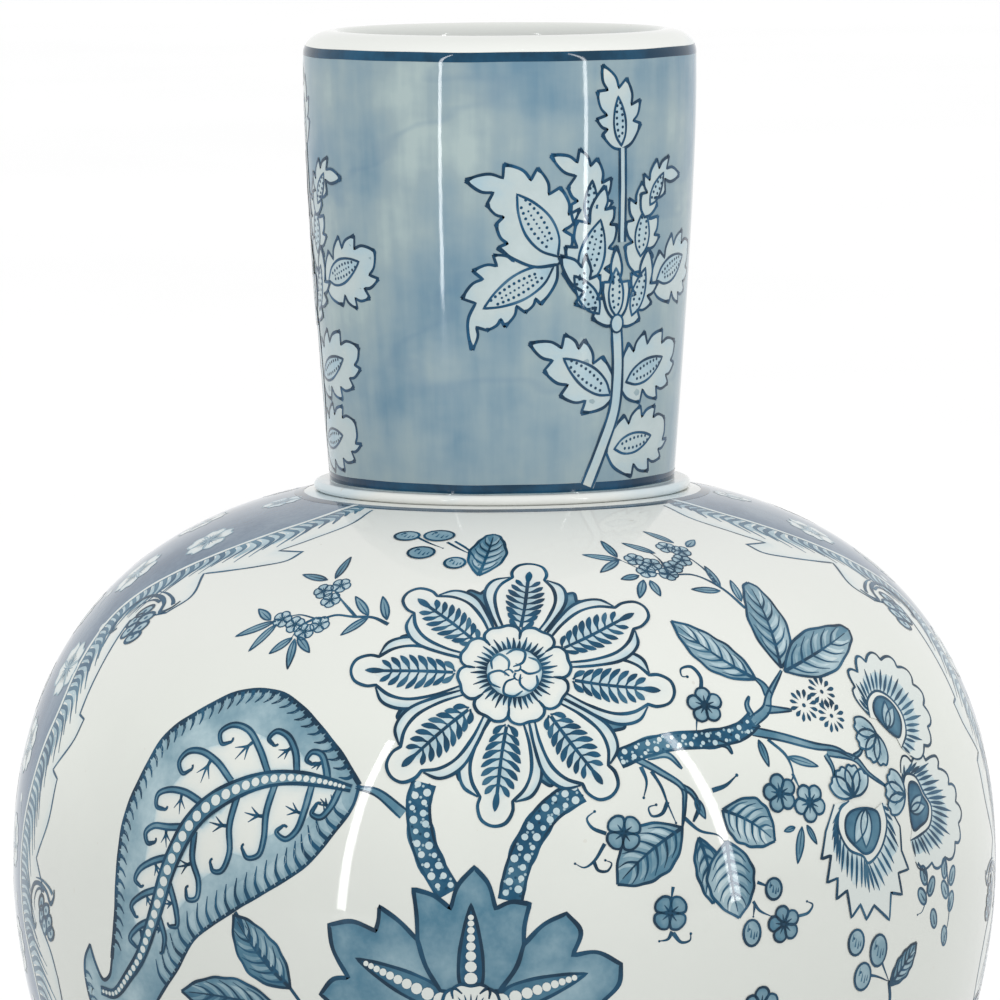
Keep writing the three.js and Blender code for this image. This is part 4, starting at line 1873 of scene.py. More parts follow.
@dataclass
class Stems(Motif):
    """The beaded stems, the thorny branch and the fine vines that carry the leaves."""

    name: str = "stems"

    def traced(self, skin: Skin, spots: Sequence[Place]) -> tuple[Brush, Line]:
        """Holds the brush by a row of angles and heights, and gives them in its mm."""
        brush = Brush.at(skin, *spots[len(spots) // 2])
        return brush, brush.places(spots)

    def draw(self, skin: Skin) -> None:
        """Paints every stem."""
        for spots, width in (
            (((-9.2, 155.5), (-9.7, 151), (-9.4, 144), (-8.5, 138), (-6.2, 129)), 5.6),
            (((8.6, 153.5), (5.2, 149), (2.8, 142), (1.4, 135), (0.6, 127.2)), 5.6),
            (((13.4, 160.5), (17, 163), (20.9, 164.2), (25.4, 164.2), (29.4, 165.4), (31.8, 168)), 4.2),
            (((-3.8, 62), (-3.4, 54), (-2.2, 46), (-3, 38), (-4.5, 30)), 5.4),
        ):
            brush, points = self.traced(skin, spots)
            beaded(brush, points, width, *((0.6, 3.2) if width < 5 else ()))
        for spots, width in (
            (((-11.4, 148), (-14.7, 153), (-17.2, 154)), 2.4),
            (((31.4, 167.4), (33.8, 170), (34.8, 173), (38.2, 178.5)), 2.6),
            (((34.8, 173), (34.5, 175.5), (33.6, 177.4)), 2.2),
            (((33.8, 170), (35.6, 169.6), (37.6, 169.2)), 2.0),
            (((31, 165.2), (34.6, 163.4), (39.7, 160.2), (42.7, 159), (45.2, 156.4)), 2.2),
            (((41.2, 158.4), (45.5, 156), (47.3, 152), (50.2, 148)), 1.6),
            (((40.9, 158), (41.6, 154.5), (41.4, 151)), 1.2),
            (((45.2, 156.4), (46.8, 157.6), (47.6, 160)), 1.2),
            (((31.5, 168.6), (31.2, 171.4), (31.9, 173.4)), 1.4),
            (((26, 163.2), (27.2, 162.2), (27.7, 160.2)), 1.4),
            (((16.9, 161), (19.4, 161), (21, 157.6)), 1.8),
            (((15.6, 160.4), (18.2, 157.2), (20.8, 153), (20.8, 149), (20.3, 143.5)), 1.5),
            (((20.8, 153.4), (21.9, 151.6), (22.5, 148.4), (21.7, 144.8)), 1.2),
        ):
            brush, points = self.traced(skin, spots)
            thorned(brush, points, width)
        for spots, width in (
            (((16.0, 158.6), (16.5, 155), (16.0, 151.2)), 0.8),
            (((17.2, 157.4), (18.2, 153.6), (18.8, 149.4), (19.6, 144.8)), 0.7),
            (((18.8, 150), (18.0, 147.2), (16.8, 146.8), (16.5, 148.8), (17.4, 149.4)), 0.8),
            (((25.4, 169), (24.2, 169.6), (23.5, 166)), 0.6),
            (((25.4, 175.6), (25.8, 178.6), (24.9, 181), (23.4, 180.6), (23.3, 179), (24, 178.8)), 0.9),
            (((11.4, 143), (9.8, 144.6), (9.3, 146.8), (10.2, 148.4)), 0.8),
            (((11.2, 140.6), (9.9, 136.4), (8.8, 135), (7.8, 136)), 0.7),
            (((9.9, 136.4), (10.4, 134.2), (11.4, 134), (11.9, 135.8), (11.2, 136.6)), 0.7),
            (((18.9, 129.4), (18.6, 126)), 0.7),
            (((18.7, 118.4), (18.2, 116.6), (17.2, 116.2)), 0.7),
            (((18.8, 118), (19.8, 115.6), (20.8, 116), (20.9, 117.6)), 0.8),
            (((20.6, 146), (22.4, 142.6), (24.6, 141.2), (25.4, 139.4)), 0.7),
            (((24.4, 152), (26.2, 153), (27.8, 155.2)), 1.0),
            (((29.2, 129), (31.2, 127.2)), 0.6),
            (((28.6, 124.4), (29.4, 122), (31, 120.2)), 0.7),
            (((28.8, 123.6), (28.6, 120.6)), 0.6),
            (((34.6, 119.6), (36, 120.2), (36.6, 122), (35.8, 123)), 0.7),
            (((32.9, 163), (35.1, 158.4), (35.4, 153.6), (33.8, 151)), 0.7),
            (((35.4, 154.4), (36.2, 150)), 0.6),
            (((47, 108), (48, 104), (49.4, 99.4)), 0.7),
            (((44.7, 102.4), (47, 101.4), (49.4, 99.4)), 0.7),
            (((49.4, 99.4), (50, 94), (49, 88), (46, 80), (41, 73)), 0.9),
            (((-31.4, 122), (-28, 112), (-24.6, 104), (-22.4, 96), (-22, 86), (-24, 76)), 0.9),
            (((-11, 209.2), (-8.4, 208), (-5.4, 206.6)), 0.6),
            (((-9.5, 209.4), (-6.3, 207.6), (-4.2, 204.6)), 0.6),
            (((-17.5, 210), (-14.6, 209), (-11.4, 208)), 0.6),
            (((54.4, 128), (56.2, 124), (56, 119), (55.2, 115.6), (54.2, 115)), 0.6),
            (((60.6, 128), (61.2, 122), (61.6, 113), (60.6, 106)), 0.6),
        ):
            brush, points = self.traced(skin, spots)
            curl(brush, points, width * 1.15)


@dataclass
class Leaves(Motif):
    """The veined leaves, the small blossoms and the berries."""

    name: str = "leaves_and_blossoms"
    slot: Slot = Slot.WASH

    def draw(self, skin: Skin) -> None:
        """Paints them all."""
        level = 0
        for base, tip, width, fill, bend, blunt, veins in (
            ((33.7, 177), (24.4, 191.4), 9.4, 0.36, -1.6, False, 5),
            ((38.3, 179), (41.6, 198.4), 11.0, 0.36, 0.4, True, 5),
            ((38.6, 178.2), (54.8, 185.4), 12.0, 0.36, 0.0, True, 5),
            ((20.3, 143.6), (12.5, 130.6), 13.0, 0.4, 1.0, False, 5),
            ((25.6, 139.6), (26.8, 120.6), 12.6, 0.36, 0.6, False, 5),
            ((22.2, 141), (23.6, 124.6), 6.6, 0.45, -0.8, False, 4),
            ((25.4, 147.2), (31.8, 138.6), 11.6, 0.34, -1.0, False, 5),
            ((-24.6, 104), (-31.6, 121.4), 10.6, 0.5, -1.0, False, 5),
            ((-26, 98), (-39.4, 100.6), 10.0, 0.48, 1.0, False, 5),
            ((-4.0, 202.4), (-1.8, 210.8), 9.0, 0.4, 0.4, True, 5),
            ((49.6, 98.4), (54.2, 108), 6.0, 0.42, 0.4, False, 5),
            ((46, 80), (54.6, 88), 8.6, 0.42, 0.6, False, 5),
            ((41, 73), (33, 86), 11.0, 0.4, -0.8, False, 5),
            ((-24, 76), (-34, 86), 10.0, 0.44, 0.8, False, 5),
            ((-3, 44), (-15, 60), 12.0, 0.4, 1.4, False, 5),
            ((-3, 42), (12, 56), 12.0, 0.4, -1.4, False, 5),
            ((-4, 36), (-20, 40), 9.0, 0.45, 1.0, False, 5),
            ((-4, 34), (14, 36), 9.0, 0.45, -1.0, False, 5),
        ):
            level = (level + 1) % 2
            brush, length = Brush.between(skin, base, tip, level)
            veined_leaf(brush, length, width, fill, veins, bend, blunt)
        for place, radius, petals, fill, lean in (
            ((25.4, 172), 4.7, 5, 0.32, 0), ((13.4, 143), 4.6, 4, 0.38, 38),
            ((18.5, 123), 4.6, 4, 0.5, 40),
            ((32.6, 118), 4.6, 5, 0.46, 12), ((33.2, 150), 4.8, 5, 0.44, 8),
            ((37.2, 147), 4.8, 5, 0.36, 30),
            ((-24, 90), 4.8, 5, 0.4, 10), ((30, 98), 4.8, 5, 0.4, 0), ((24, 88), 4.6, 4, 0.44, 20),
            ((-32, 72), 4.8, 5, 0.4, 10), ((28, 66), 4.8, 5, 0.38, 25), ((-46, 84), 4.4, 4, 0.44, 5),
        ):
            blossom(Brush.at(skin, *place, 2).moved(lean=lean), radius, petals, fill, 0.92,
                    0.36 if petals == 5 else 0.45)
        for place, radius, tall in (
            ((31.3, 127), 2.3, 1.15), ((28.4, 116.6), 2.4, 1.35), ((43.2, 111), 2.7, 1.2),
            ((47, 108), 3.1, 1.3), ((44.6, 102), 2.9, 1.2),
            ((-20, 210.2), 3.2, 0.75), ((-13.2, 210.4), 3.8, 0.75), ((-15.2, 207), 3.4, 0.8),
            ((-8.4, 205), 2.6, 0.9),
            ((-39, 80), 2.6, 1.1), ((20, 76), 2.4, 1.1), ((34, 78), 2.4, 1.2),
        ):
            berry(Brush.at(skin, *place, 2), radius, tall)
        for place in ((39.7, 170), (43.4, 172.6), (43.6, 166.8)):
            star(Brush.at(skin, *place), 4.4)
        for base, tip, width in (
            ((31.6, 163), (32.3, 156.6), 1.9), ((35.2, 158.4), (39.4, 155.4), 1.9),
            ((35.7, 141.4), (34.7, 132.6), 2.2),
            ((36.4, 141.6), (37.6, 136.8), 1.4), ((34.7, 141.4), (33.2, 140.8), 1.2),
            ((22.2, 150.4), (23.2, 145.4), 1.9),
        ):
            brush, length = Brush.between(skin, base, tip)
            narrow_leaf(brush, length, width)


@dataclass
class Sprays(Motif):
    """The light sprays of tiny flowers either side of the lotus, and the hanging clusters."""

    name: str = "flower_sprays"

    def tiny(self, skin: Skin, place: Place) -> None:
        """Draws a tiny pale five-petalled flower."""
        blossom(Brush.at(skin, *place).moved(lean=place[0] * 9), 2.6, 5, 0.2, 0.8, 0.42)

    def draw(self, skin: Skin) -> None:
        """Paints the sprays."""
        for spots in (
            ((-16.4, 191.6), (-19, 193), (-22.1, 193), (-24.7, 193.2), (-27.1, 192.2), (-30.8, 192.8),
             (-34.1, 191)),
            ((-21.6, 193), (-24.5, 196), (-27, 198.4)),
            ((-27.6, 192.4), (-29.6, 190.4), (-30.2, 187.6)),
            ((37.6, 193), (35.7, 198), (32.5, 201), (28.1, 201.4), (24.5, 202.4), (21, 205)),
            ((35.7, 198), (35.4, 202), (34.1, 205.4)),
            ((28.1, 201.4), (28.4, 204.6), (27.8, 206)),
        ):
            brush = Brush.at(skin, *spots[1])
            curl(brush, brush.places(spots), 0.8, 0.86)
        for base, tip in (
            ((-19.8, 193.4), (-23, 197.4)), ((-16.8, 192.6), (-18.6, 197.6)),
            ((-19.7, 193), (-22.9, 188.8)), ((-34.1, 191), (-39.4, 187)),
            ((-33.6, 190.4), (-36, 184)), ((-35, 191.2), (-38.2, 193.4)),
            ((-30.1, 187.6), (-32.6, 183.8)), ((-29.6, 187.4), (-29, 180.6)),
            ((-29.3, 188), (-26.6, 184.6)), ((-29.4, 200.6), (-34.6, 201.4)),
            ((-28.1, 201), (-28.1, 205.6)),
            ((21, 205), (14.6, 206.4)), ((20.7, 205.6), (19.7, 209)), ((20.7, 205), (16.4, 202.6)),
            ((22.7, 201.6), (19.4, 201)),
            ((23.1, 200.6), (21, 196.8)), ((24.2, 200.4), (24.5, 197)), ((28.5, 206), (23.6, 208.4)),
            ((34.4, 207.8), (30.6, 210.4)),
            ((36.3, 206.8), (39.7, 208)), ((35.7, 198), (36, 202.6)), ((35.2, 197.2), (30.4, 198)),
            ((37.7, 194.6), (38.6, 199.2)),
        ):
            brush, length = Brush.between(skin, base, tip)
            narrow_leaf(brush, length, 2.0, 0.5)
        for place in (
            (-26.4, 199.6), (-28.8, 198.2), (-26.8, 196.4), (-30.6, 190.6), (-26.7, 191), (-33.1, 191.6),
            (-28.6, 189.2),
            (24.5, 202.4), (28.1, 201.6), (26.3, 203.8), (34.1, 206), (31.8, 207), (32.6, 204.2),
            (30, 203), (23.7, 205),
        ):
            self.tiny(skin, place)
        for place, lean in (
            ((55.6, 124.6), 20), ((57.2, 121.4), -30), ((55.2, 119.4), 40), ((60.4, 125), 0),
            ((62.4, 122.6), -30), ((60.4, 119.6), 30),
            ((62, 116.2), -20), ((57.8, 113), 20), ((60.6, 107.8), 10),
        ):
            brush = Brush.at(skin, *place).moved(lean=lean)
            edge = round_spot(0, 0, 1.5, 1.7)
            brush.shape(edge, 0.42, 0.55, 0.85)
            brush.stroke([(0, -1.6), (0, 1.2)], 0.5, 0.8, Touch.TAIL, layer=Layer.TOP)


@dataclass
class Carnations(Motif):
    """Three fan-shaped flowers at the right, each with a collared heart and fine rays.

    Attributes:
        steps: How many points a fan's edges have where its rays are shared out.
    """

    name: str = "carnations"
    steps: int = 60

    def evened(self, line: Line) -> Line:
        """Gives a line with as many points as the fan has steps from side to side."""
        share = np.linspace(0, 1, len(line))
        return np.stack([np.interp(np.linspace(0, 1, self.steps), share, line[:, k]) for k in (0, 1)],
                        axis=1)

    def frill(self, rim: Sequence[Place]) -> Line:
        """Rounds every tooth of a rim and keeps the notches sharp."""
        spots = np.asarray(rim, dtype=float)
        runs = [spots[:1]]
        for i in range(1, len(spots) - 1, 2):
            left, crown, right = spots[i - 1], spots[i], spots[i + 1]
            shoulders = [left + 0.72 * (crown - left) - 0.14 * (right - left),
                         right + 0.72 * (crown - right) + 0.14 * (right - left)]
            runs.append(smooth([left, shoulders[0], crown, shoulders[1], right])[1:])
        return np.concatenate(runs)

    def fan(self, brush: Brush, collar: Sequence[Place], rim: Sequence[Place], rays: int,
            scalloped: bool) -> None:
        """Draws one fan.

        Args:
            brush: The brush.
            collar: The white collar's outer edge in mm, from one end of the fan to the other.
            rim: The fan's toothed edge in mm, in the same order, teeth and notches in turn.
            rays: How many rays it has.
            scalloped: Whether its teeth are rounded.
        """
        if scalloped:
            edge = self.frill(rim)
        else:
            sides = [smooth(rim[i : i + 2])[:-1] for i in range(len(rim) - 1)]
            edge = np.concatenate([*sides, [rim[-1]]])
        inner = smooth(collar)
        brush.wash(np.concatenate([edge, inner[::-1]]), 0.05)
        middle = inner.mean(axis=0)
        far, near = self.evened(edge), self.evened(inner)
        haze = near + (far - near) * 0.5
        brush.wash(np.concatenate([haze, near[::-1]]), 0.32, 0.16, 1.2, layer=Layer.LINE)
        for i in range(rays):
            share = (i + 0.5) / rays * (self.steps - 1)
            start, end = (spot_at(share, range(self.steps), line) for line in (near, far))
            reach = 0.58 + 0.08 * math.sin(2.3 * i)
            brush.stroke([start, start + 0.5 * reach * (end - start), start + reach * (end - start)], 0.8,
                         0.84, Touch.SPINDLE, layer=Layer.TOP)
        brush.stroke(edge, 0.65, 0.9, ready=True, layer=Layer.TOP)
        top, middle_top = brush.over(), middle * 0.5 + (inner[0] + inner[-1]) * 0.25
        top.wash(np.concatenate([inner, [middle_top]]), 0.02)
        top.stroke(inner, 0.6, 0.86, ready=True)
        heart = smooth(middle + 0.72 * (inner[:: max(1, len(inner) // 7)] - middle), True)
        top.wash(heart, 0.6, 0.74, 1.2, 2.0, Layer.LINE)
        top.ring(heart, 0.6, 0.93)
        base = (inner[0] + inner[-1]) / 2
        held, length = top.over().aimed(tuple(base * 0.8 + 0.2 * middle),
                                        tuple(middle * 1.35 - 0.35 * base))
        for lean in (12, -12):
            tongue = almond(length, 0.4 * length)
            side = held.moved(lean=lean)
            side.wash(tongue, 0.2, 0.34, 0.6, 1.6)
            side.ring(tongue, 0.45, 0.85, Layer.LINE)

    def calyx(self, skin: Skin, place: Place, leans: Sequence[float]) -> None:
        """Draws the cup of small blunt sepals behind a fan."""
        length = 8.0
        for lean in leans:
            held = Brush.at(skin, *place, 4).moved(lean=lean)
            side = [(0, 0), (1.9, 0.3 * length), (2.5, 0.7 * length), (1.2, length), (0, 0.96 * length)]
            outline = doubled(side)
            held.wash(outline, 0.36, 0.24, 1.0, 2.0, Layer.LINE)
            held.ring(outline, 0.55, 0.86)
            held.stroke([(0, 1), (0, 0.7 * length)], 0.5, 0.78, Touch.TAIL, layer=Layer.TOP)

    def draw(self, skin: Skin) -> None:
        """Paints the three fans and their cups."""
        self.fan(
            Brush.at(skin, 60.0, 140.0),
            [(-14.5, 8), (-12.5, 10.4), (-8.6, 9.4), (-6, 4.8), (-3.4, 1), (-5.2, -3.2), (-10.4, -5.2),
             (-15, -6)],
            [(-14.5, 11), (-12, 15), (-8.6, 13.2), (-4, 15), (-1.6, 12.8), (4.5, 13), (4.0, 10), (8.5, 8),
             (8.2, 5.4), (12, 4), (11, 0.6), (14, -2.5),
             (11.2, -5), (11.4, -9), (8, -9.4), (6, -13), (1.6, -12.4), (-2.5, -14.6), (-5.6, -12.8),
             (-10.5, -14), (-13.4, -11.6)],
            26,
            True,
        )
        self.fan(
            Brush.at(skin, 56.0, 166.0, 2),
            [(-12, -1), (-10.6, 3.2), (-5.4, 5.4), (-1, 3.4), (2, -1.5), (1, -6.5), (-3, -10)],
            [(-12.4, 0), (-14.6, 5), (-12.8, 7.4), (-12.4, 11.8), (-9, 11.2), (-6, 15.2), (-3.6, 13.4),
             (1, 15.6), (3.4, 13.2), (8.5, 13.4), (9.4, 10.4),
             (14.2, 8.6), (13.4, 5), (16.6, 2.2), (14.6, -0.8), (16, -4.6), (12.8, -6.4), (12, -10.4),
             (8, -10.6), (4.6, -13.6), (0, -12.4)],
            24,
            True,
        )
        self.fan(
            Brush.at(skin, 47.0, 135.0, 2),
            [(-8.4, 11.4), (-12, 9.4), (-13.4, 5.2), (-10.5, -0.5), (-5.6, -2.8), (-4, -4.6), (0.8, -2),
             (4.4, 4.4), (3.6, 9.6)],
            [(-13.6, 11), (-17.6, 4.6), (-19.8, -2), (-16.6, -1.4), (-18.4, -8), (-14.8, -7.2),
             (-15.4, -12.4), (-11.8, -10.6), (-10.4, -17.6), (-7.2, -14.6),
             (-5, -18.6), (-2.2, -15.4), (3.8, -19.8), (4.4, -13), (9, -14), (7.6, -8.4), (12, -8),
             (9.4, -3), (9.6, 3), (6, 8.5)],
            26,
            False,
        )
        self.calyx(skin, (50.4, 161), (62, 100, 140, 176))
        self.calyx(skin, (53.2, 145.4), (40, 76, 112))
        self.calyx(skin, (43.9, 147), (56, 24, -10, -44))


@dataclass
class PanelGround(Motif):
    """The dark ground of the panels at the sides of the belly."""

    name: str = "side_panel"
    turns: tuple[float, ...] = (-90.0, 101.5)
    again: float = 1.0
    slot: Slot = Slot.GROUND
    edge: tuple[Place, ...] = (
        (44.6, 215.2), (41.5, 212), (36.1, 208), (31.2, 204), (25.9, 199), (21.4, 193.5), (18.6, 187),
        (18.4, 176), (19, 164), (17.6, 154),
        (16.0, 143), (14.4, 132), (13.6, 120), (14.4, 108), (16.4, 96), (16.8, 86), (14.6, 75), (11, 64),
        (7, 55), (0, 46)
    )

    def border(self, brush: Brush) -> Line:
        """Gives the right-hand edge in the brush's mm, from the collar down."""
        return smooth(brush.places(self.edge))

    def draw(self, skin: Skin) -> None:
        """Paints the ground."""
        brush = Brush.at(skin, 0.0, 130.0)
        right = self.border(brush)
        left = (right * np.array([-1, 1]))[::-1]
        brush.wash(np.concatenate([right, left[1:]]), 0.6, 0.45, 3.0, 3.4)


@dataclass
class PanelBlossoms(PanelGround):
    """White plum blossoms scattered on the dark panels."""

    name: str = "panel_blossoms"
    slot: Slot = Slot.LINE
    radius: float = 7.0

    def plum(self, brush: Brush, radius: float) -> None:
        """Draws a white blossom with fine stamens and a dark eye."""
        for i in range(5):
            held = brush.moved(lean=72 * i)
            side = [(0, 0), (0.28 * radius, 0.3 * radius), (0.46 * radius, 0.66 * radius),
                    (0.26 * radius, radius), (0, 0.93 * radius)]
            outline = doubled(side)
            held.wash(outline, 0.04, 0.14, 0.8, 2.4, Layer.LINE)
            held.ring(outline, 0.4, 0.42)
            for way in (-0.18, 0, 0.18):
                held.stroke([(0, 0.14 * radius), (way * radius, 0.56 * radius)], 0.4, 0.62, Touch.TAIL,
                            layer=Layer.TOP)
        brush.dot(0, 0, 0.14 * radius, 0.75)

    def draw(self, skin: Skin) -> None:
        """Paints the blossoms from the collar down, and the small buds between them."""
        for x, height, size in (
            (-14, 213.5, 0.72), (13.6, 213.8, 0.75), (-21.5, 205.6, 0.95), (21.5, 205.6, 0.95),
            (0, 207, 1.0), (10, 196, 1.05), (-10, 195, 1.0),
            (0, 184, 1.0), (14.4, 173, 1.1), (-14.4, 173, 1.1), (1, 165, 1.0), (9, 152, 1.05),
            (-9, 151, 1.05), (0, 139, 1.1), (8, 127, 1.0),
            (-8, 126, 1.0), (0, 113, 1.1), (9, 100, 1.05), (-9, 99, 1.05), (0, 87, 1.1), (7, 74, 0.9),
            (-7, 74, 0.9), (0, 62, 0.9)
        ):
            brush = Brush.at(skin, x, height).moved(lean=x * 7 + height * 3)
            self.plum(brush, self.radius * size)
        for x, height in ((6, 190), (-19, 193), (18, 184), (-3, 175), (6, 159), (-15, 162), (3, 146),
                          (-11, 139), (11, 139), (2, 120), (-9, 113), (10, 113), (0, 100), (-12, 87),
                          (12, 87), (0, 74)):
            brush = Brush.at(skin, x, height)
            brush.dot(0, 0, 1.3, 0.1, Layer.LINE)
            brush.stroke([(0.6, -1.2), (1.8, -3.6), (3.8, -4.8)], 0.5, 0.2, Touch.TAIL)


@dataclass
class PanelBorders(PanelGround):
    """The scalloped feather borders down both edges of the side panels."""

    name: str = "panel_borders"
    slot: Slot = Slot.LINE
    scallops: tuple[Place, ...] = (
        (53.2, 214.6), (53.6, 211.6), (49, 208.2), (45.4, 205.8), (50.9, 206), (49.6, 204), (45.1, 202.4),
        (38.6, 200.6), (33.8, 199.4),
        (36.2, 194.2), (33.6, 190.2), (25.6, 187.0), (26.0, 175.9), (26.2, 164), (27.8, 163.2),
        (26.9, 157.8), (23.0, 149.4), (24.9, 147.6),
        (24.2, 137), (20.9, 126.4), (22.9, 120.8), (22.6, 115.4), (21.7, 110.4), (24.6, 103.6),
        (25.8, 97), (25.9, 91), (24, 78), (21, 69), (16.6, 62), (12.6, 52), (7, 44), (0, 38)
    )
    corners: tuple[int, ...] = (0, 3, 4, 8, 10, 11, 13, 14, 16, 17, 19, 20, 22, 24, 26, 29, 31)

    def side(self, brush: Brush) -> None:
        """Draws the border at the brush's right-hand side."""
        edge = self.border(brush)
        knots = brush.places(self.scallops)
        runs = [smooth(knots[a : b + 1]) for a, b in zip(self.corners[:-1], self.corners[1:])]
        outer = np.concatenate([run[:-1] for run in runs] + [knots[-1:]])
        brush.wash(np.concatenate([edge, outer[::-1]]), 0.02, 0.1, 1.0, 3.4)
        brush.stroke(outer, 0.6, 0.82, ready=True)
        along, tangent, out = travelled(edge), heading(edge), leftward(edge)
        ends = np.linalg.norm(edge[:, None] - outer[None], axis=2).min(axis=1)
        for i, reach in enumerate(np.arange(3.0, along[-1] - 2, 2.3)):
            here, ahead, way = (spot_at(reach, along, line) for line in (edge, tangent, out))
            length = 0.72 * float(np.interp(reach + 3, along, ends)) * (1 + 0.12 * math.sin(1.9 * i))
            tip = here + length * way + (2.4 + 0.5 * length) * ahead
            brush.stroke([here, here + 0.55 * length * way + 0.6 * ahead, tip], 1.2, 0.72, Touch.TAIL)
            bend = here + 0.45 * length * way + 1.6 * ahead
            tip = here + 0.75 * length * way + (2.6 + 0.4 * length) * ahead
            brush.stroke([here + 0.9 * ahead, bend, tip], 1.6, 0.3, Touch.DROP, layer=Layer.WASH)
        brush.stroke(edge, 2.0, 0.62, Touch.EVEN, ready=True, layer=Layer.LINE)
        brush.stroke(edge, 1.15, 0.05, Touch.EVEN, ready=True, layer=Layer.TOP)
        self.scrolls(brush)

    def scrolls(self, brush: Brush) -> None:
        """Draws the scrolls and berry lobes at the border's cusps."""
        for x, height, size in ((31.2, 192.0, 1.0), (24.6, 118.6, 0.9), (24.6, 84, 0.9)):
            place = brush.places([(x, height)])[0]
            held = brush.moved(place[0], place[1], size=size).over()
            held.stroke([(5.4, 1.6), (5.0, -0.8), (2.6, -2.8), (0, 0), (-5.2, 1.8), (-10.6, 1.2),
                         (-13.8, -2.0), (-14.4, -6.2), (-14, -9.6), (-12, -11.6), (-10.6, -10)], 1.0,
                        0.86)
            held.stroke([(4.2, 0.2), (1.4, 1.8), (-4, 3.2), (-9, 3.2)], 0.9, 0.78, Touch.TAIL)
            held.stroke([(-2.4, 0.2), (-6.6, 0.4), (-9.6, -1.4), (-11.2, -4.6), (-10.6, -6.4)], 0.8, 0.8,
                        Touch.TAIL)
            for dx, dy, lean in ((-4.6, -3.4, 40), (-4.8, -6.6, 25), (-1.0, -5.2, 60), (0.8, -8.4, 35),
                                 (-3.2, -9.8, 10), (1.4, -11.4, 60)):
                edge = round_spot(dx, dy, 1.7, 1.5, -lean)
                held.wash(edge, 0.34, layer=Layer.LINE)
                held.ring(edge, 0.75, 0.9)
                held.dot(dx, dy, 0.6, 0.75)

    def draw(self, skin: Skin) -> None:
        """Paints the borders of one panel."""
        brush = Brush.at(skin, 0.0, 130.0)
        self.side(brush)
        self.side(brush.moved(flip=True))


@dataclass
class FootBorder(Motif):
    """A row of pointed lappets between two lines, just above the foot."""

    name: str = "foot_border"
    turns: tuple[float, ...] = (0.0,)
    count: int = 34
    low: float = 11.5
    high: float = 26.0

    def draw(self, skin: Skin) -> None:
        """Paints the lappets and the lines."""
        for i in range(self.count):
            base = Brush.at(skin, 360 / self.count * i, self.low)
            width = 2 * math.pi * float(skin.wall.radius(skin.wall.reach(self.low))) / self.count
            tall = float(skin.wall.reach(self.high) - skin.wall.reach(self.low))
            half = width / 2
            side = [(half * 0.98, 0), (half * 0.98, 0.5 * tall), (half * 0.6, 0.82 * tall), (0, tall)]
            outline = joined(side, mirrored(side), [(-half * 0.98, 0), (half * 0.98, 0)])
            base.wash(outline, 0.26, 0.4, 1.6)
            base.stroke(np.concatenate([smooth(side), smooth(mirrored(side))[1:]]), 0.75, 0.9, ready=True)
            base.wash(almond(0.62 * tall, 0.9 * half, 0.1 * tall), 0.66, layer=Layer.LINE)
            base.dot(0, 0.36 * tall, 0.9, 0.06)
            base.stroke([(0, 0.72 * tall), (0, 0.92 * tall)], 0.5, 0.8, Touch.TAIL)


# ------------------------------------------------------------------------ the studio


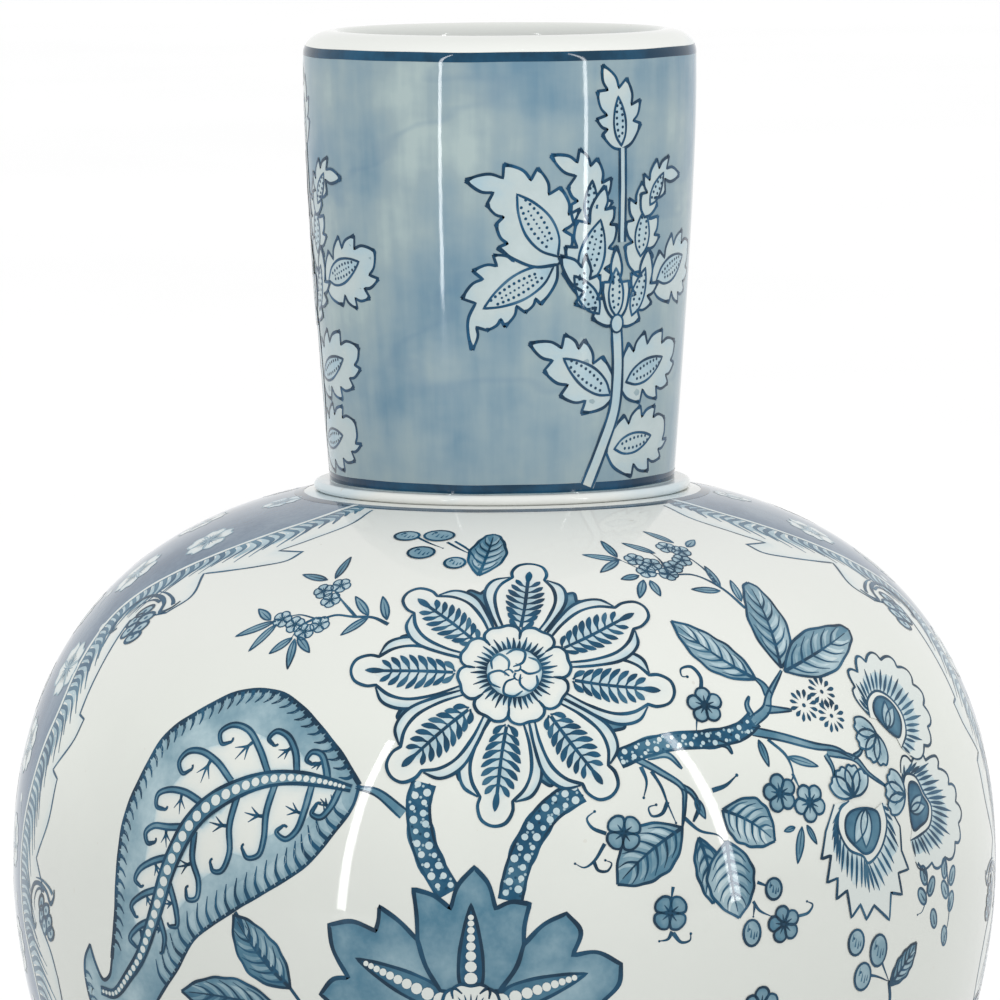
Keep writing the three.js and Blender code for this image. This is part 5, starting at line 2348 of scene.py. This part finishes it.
@dataclass(frozen=True)
class Studio:
    """A plain pale floor, soft white surroundings, two tall narrow lamps and the camera.

    Attributes:
        aim: Height in mm of the point that the camera looks at.
        distance: Distance in mm from the camera to that point.
        elevation: The camera's angle above the horizon, in degrees.
        lean: The camera's small roll, in degrees.
        aside: How far in mm the camera and that point lie to the right of the axis.
        lens: Focal length in mm on a 36 mm sensor.
        room: Strength of the white surroundings.
    """

    aim: float = 212.55
    distance: float = 2014.0
    elevation: float = 5.776
    lean: float = 0.34
    aside: float = -0.6
    lens: float = 280.1
    room: float = 1.02

    @staticmethod
    def point(thing: bpy.types.Object, way: Vector, lean: float) -> None:
        """Points a camera or a lamp along a way, leaning over by an angle in degrees."""
        thing.rotation_mode = "QUATERNION"
        roll = Quaternion((0.0, 0.0, 1.0), math.radians(lean))
        thing.rotation_quaternion = way.to_track_quat("-Z", "Y") @ roll

    def camera(self) -> None:
        """Sets up the camera at the front."""
        data = bpy.data.cameras.new("front_camera")
        data.lens, data.sensor_width = self.lens, 36.0
        data.clip_start, data.clip_end = 0.1, 100.0
        camera = bpy.data.objects.new("front_camera", data)
        tilt = math.radians(self.elevation)
        back = Vector((0.0, -math.cos(tilt), math.sin(tilt)))
        camera.location = Vector((self.aside, 0.0, self.aim)) * MM + back * self.distance * MM
        self.point(camera, -back, -self.lean)
        bpy.context.scene.collection.objects.link(camera)
        bpy.context.scene.camera = camera

    def lamp(self, name: str, azimuth: float, height: float, size: Place, power: float, away: float,
             lean: float) -> None:
        """Adds a soft lamp that faces the vase.

        Args:
            name: The lamp's name.
            azimuth: Degrees round from the front, to the right.
            height: Height of its middle in metres.
            size: Width and height in metres.
            power: Its power in watts.
            away: Distance from the vase in metres.
            lean: How far it leans over, in degrees.
        """
        data = bpy.data.lights.new(name, "AREA")
        data.shape, data.energy = "RECTANGLE", power
        data.size, data.size_y = size
        lamp = bpy.data.objects.new(name, data)
        turn = math.radians(azimuth)
        lamp.location = (away * math.sin(turn), -away * math.cos(turn), height)
        self.point(lamp, Vector((0.0, 0.0, height)) - lamp.location, lean)
        lamp.visible_camera = False
        bpy.context.scene.collection.objects.link(lamp)

    def surroundings(self) -> None:
        """Fills the room with soft white light."""
        world = bpy.data.worlds.new("white_room")
        world.use_nodes = True
        bpy.context.scene.world = world
        tree = world.node_tree
        tree.nodes["Background"].inputs["Color"].default_value = (1.0, 1.0, 1.0, 1.0)
        tree.nodes["Background"].inputs["Strength"].default_value = self.room
        bpy.context.scene.view_settings.view_transform = "Standard"

    def floor(self) -> None:
        """Lays the pale floor."""
        half, mesh = 14.0, bpy.data.meshes.new("pale_floor")
        mesh.from_pydata([(-half, -half, 0), (half, -half, 0), (half, half, 0), (-half, half, 0)], [],
                         [(0, 1, 2, 3)])
        nodes = Nodes("pale_floor")
        tint = nodes.ramp(nodes.noise(1.5, 2.0), [(0.3, "fcfcfc"), (0.7, "fefefe")])
        nodes.link(tint, nodes.shader.inputs["Base Color"])
        nodes.shader.inputs["Roughness"].default_value = 0.8
        nodes.shader.inputs["Specular IOR Level"].default_value = 0.1
        mesh.materials.append(nodes.material)
        floor = bpy.data.objects.new("pale_floor", mesh)
        bpy.context.scene.collection.objects.link(floor)

    def build(self) -> None:
        """Sets up the whole studio."""
        self.surroundings()
        self.floor()
        self.lamp("left_strip", -32.7, 0.56, (0.044, 1.1), 3.2, 1.3, -7.0)
        self.lamp("right_strip", 47.6, 0.56, (0.054, 1.1), 3.7, 1.3, 10.0)
        self.camera()


def main() -> None:
    """Builds the vase's looks and reports each piece."""
    logging.basicConfig(level=logging.INFO, format="%(message)s")
    Studio().build()
    cobalt, neck_cobalt = Cobalt().build(), Cobalt("neck_cobalt", NECK_GLAZE, NECK_STOPS).build()
    panel, wash = PanelWash().build(), NeckWash().build()
    lip_band = (SIZES.neck_head + 2.1, SIZES.neck_head + 4.5, 0.97)
    base_band = (SIZES.neck_foot + 0.2, SIZES.neck_foot + 2.4, 0.99)
    painting = [
        (Rings(name="neck_wash_edge", wall=NECK, slot=Slot.NECK, lift=0.02,
               bands=((SIZES.neck_head - 0.6, SIZES.neck_head + 2.3, 0.5),)), wash),
        (Rings(name="neck_bands", wall=NECK, bands=(lip_band, base_band)), neck_cobalt),
        (NeckSprig(), neck_cobalt),
        (Rings(name="collar_line", bands=((SIZES.collar_foot - 1.0, SIZES.collar_foot - 0.5, 0.9),)),
         cobalt),
        (PanelGround(), panel),
        (PanelBlossoms(), cobalt),
        (PanelBorders(), cobalt),
        (Stems(), cobalt),
        (Lotus(), cobalt),
        (LowerLotus(), cobalt),
        (Paisley(), cobalt),
        (Leaves(), cobalt),
        (Sprays(), cobalt),
        (Carnations(), cobalt),
        (FootBorder(), cobalt),
        (Rings(name="foot_lines", bands=((9.6, 10.8, 0.9), (27.6, 28.3, 0.85))), cobalt),
    ]
    pieces = TurnedSections().build(wash)
    for motif, finish in painting:
        pieces += motif.build(finish)
    for piece in pieces:
        LOG.info("%s: %d faces", piece.name, len(piece.data.polygons))


if __name__ == "__main__":
    main()
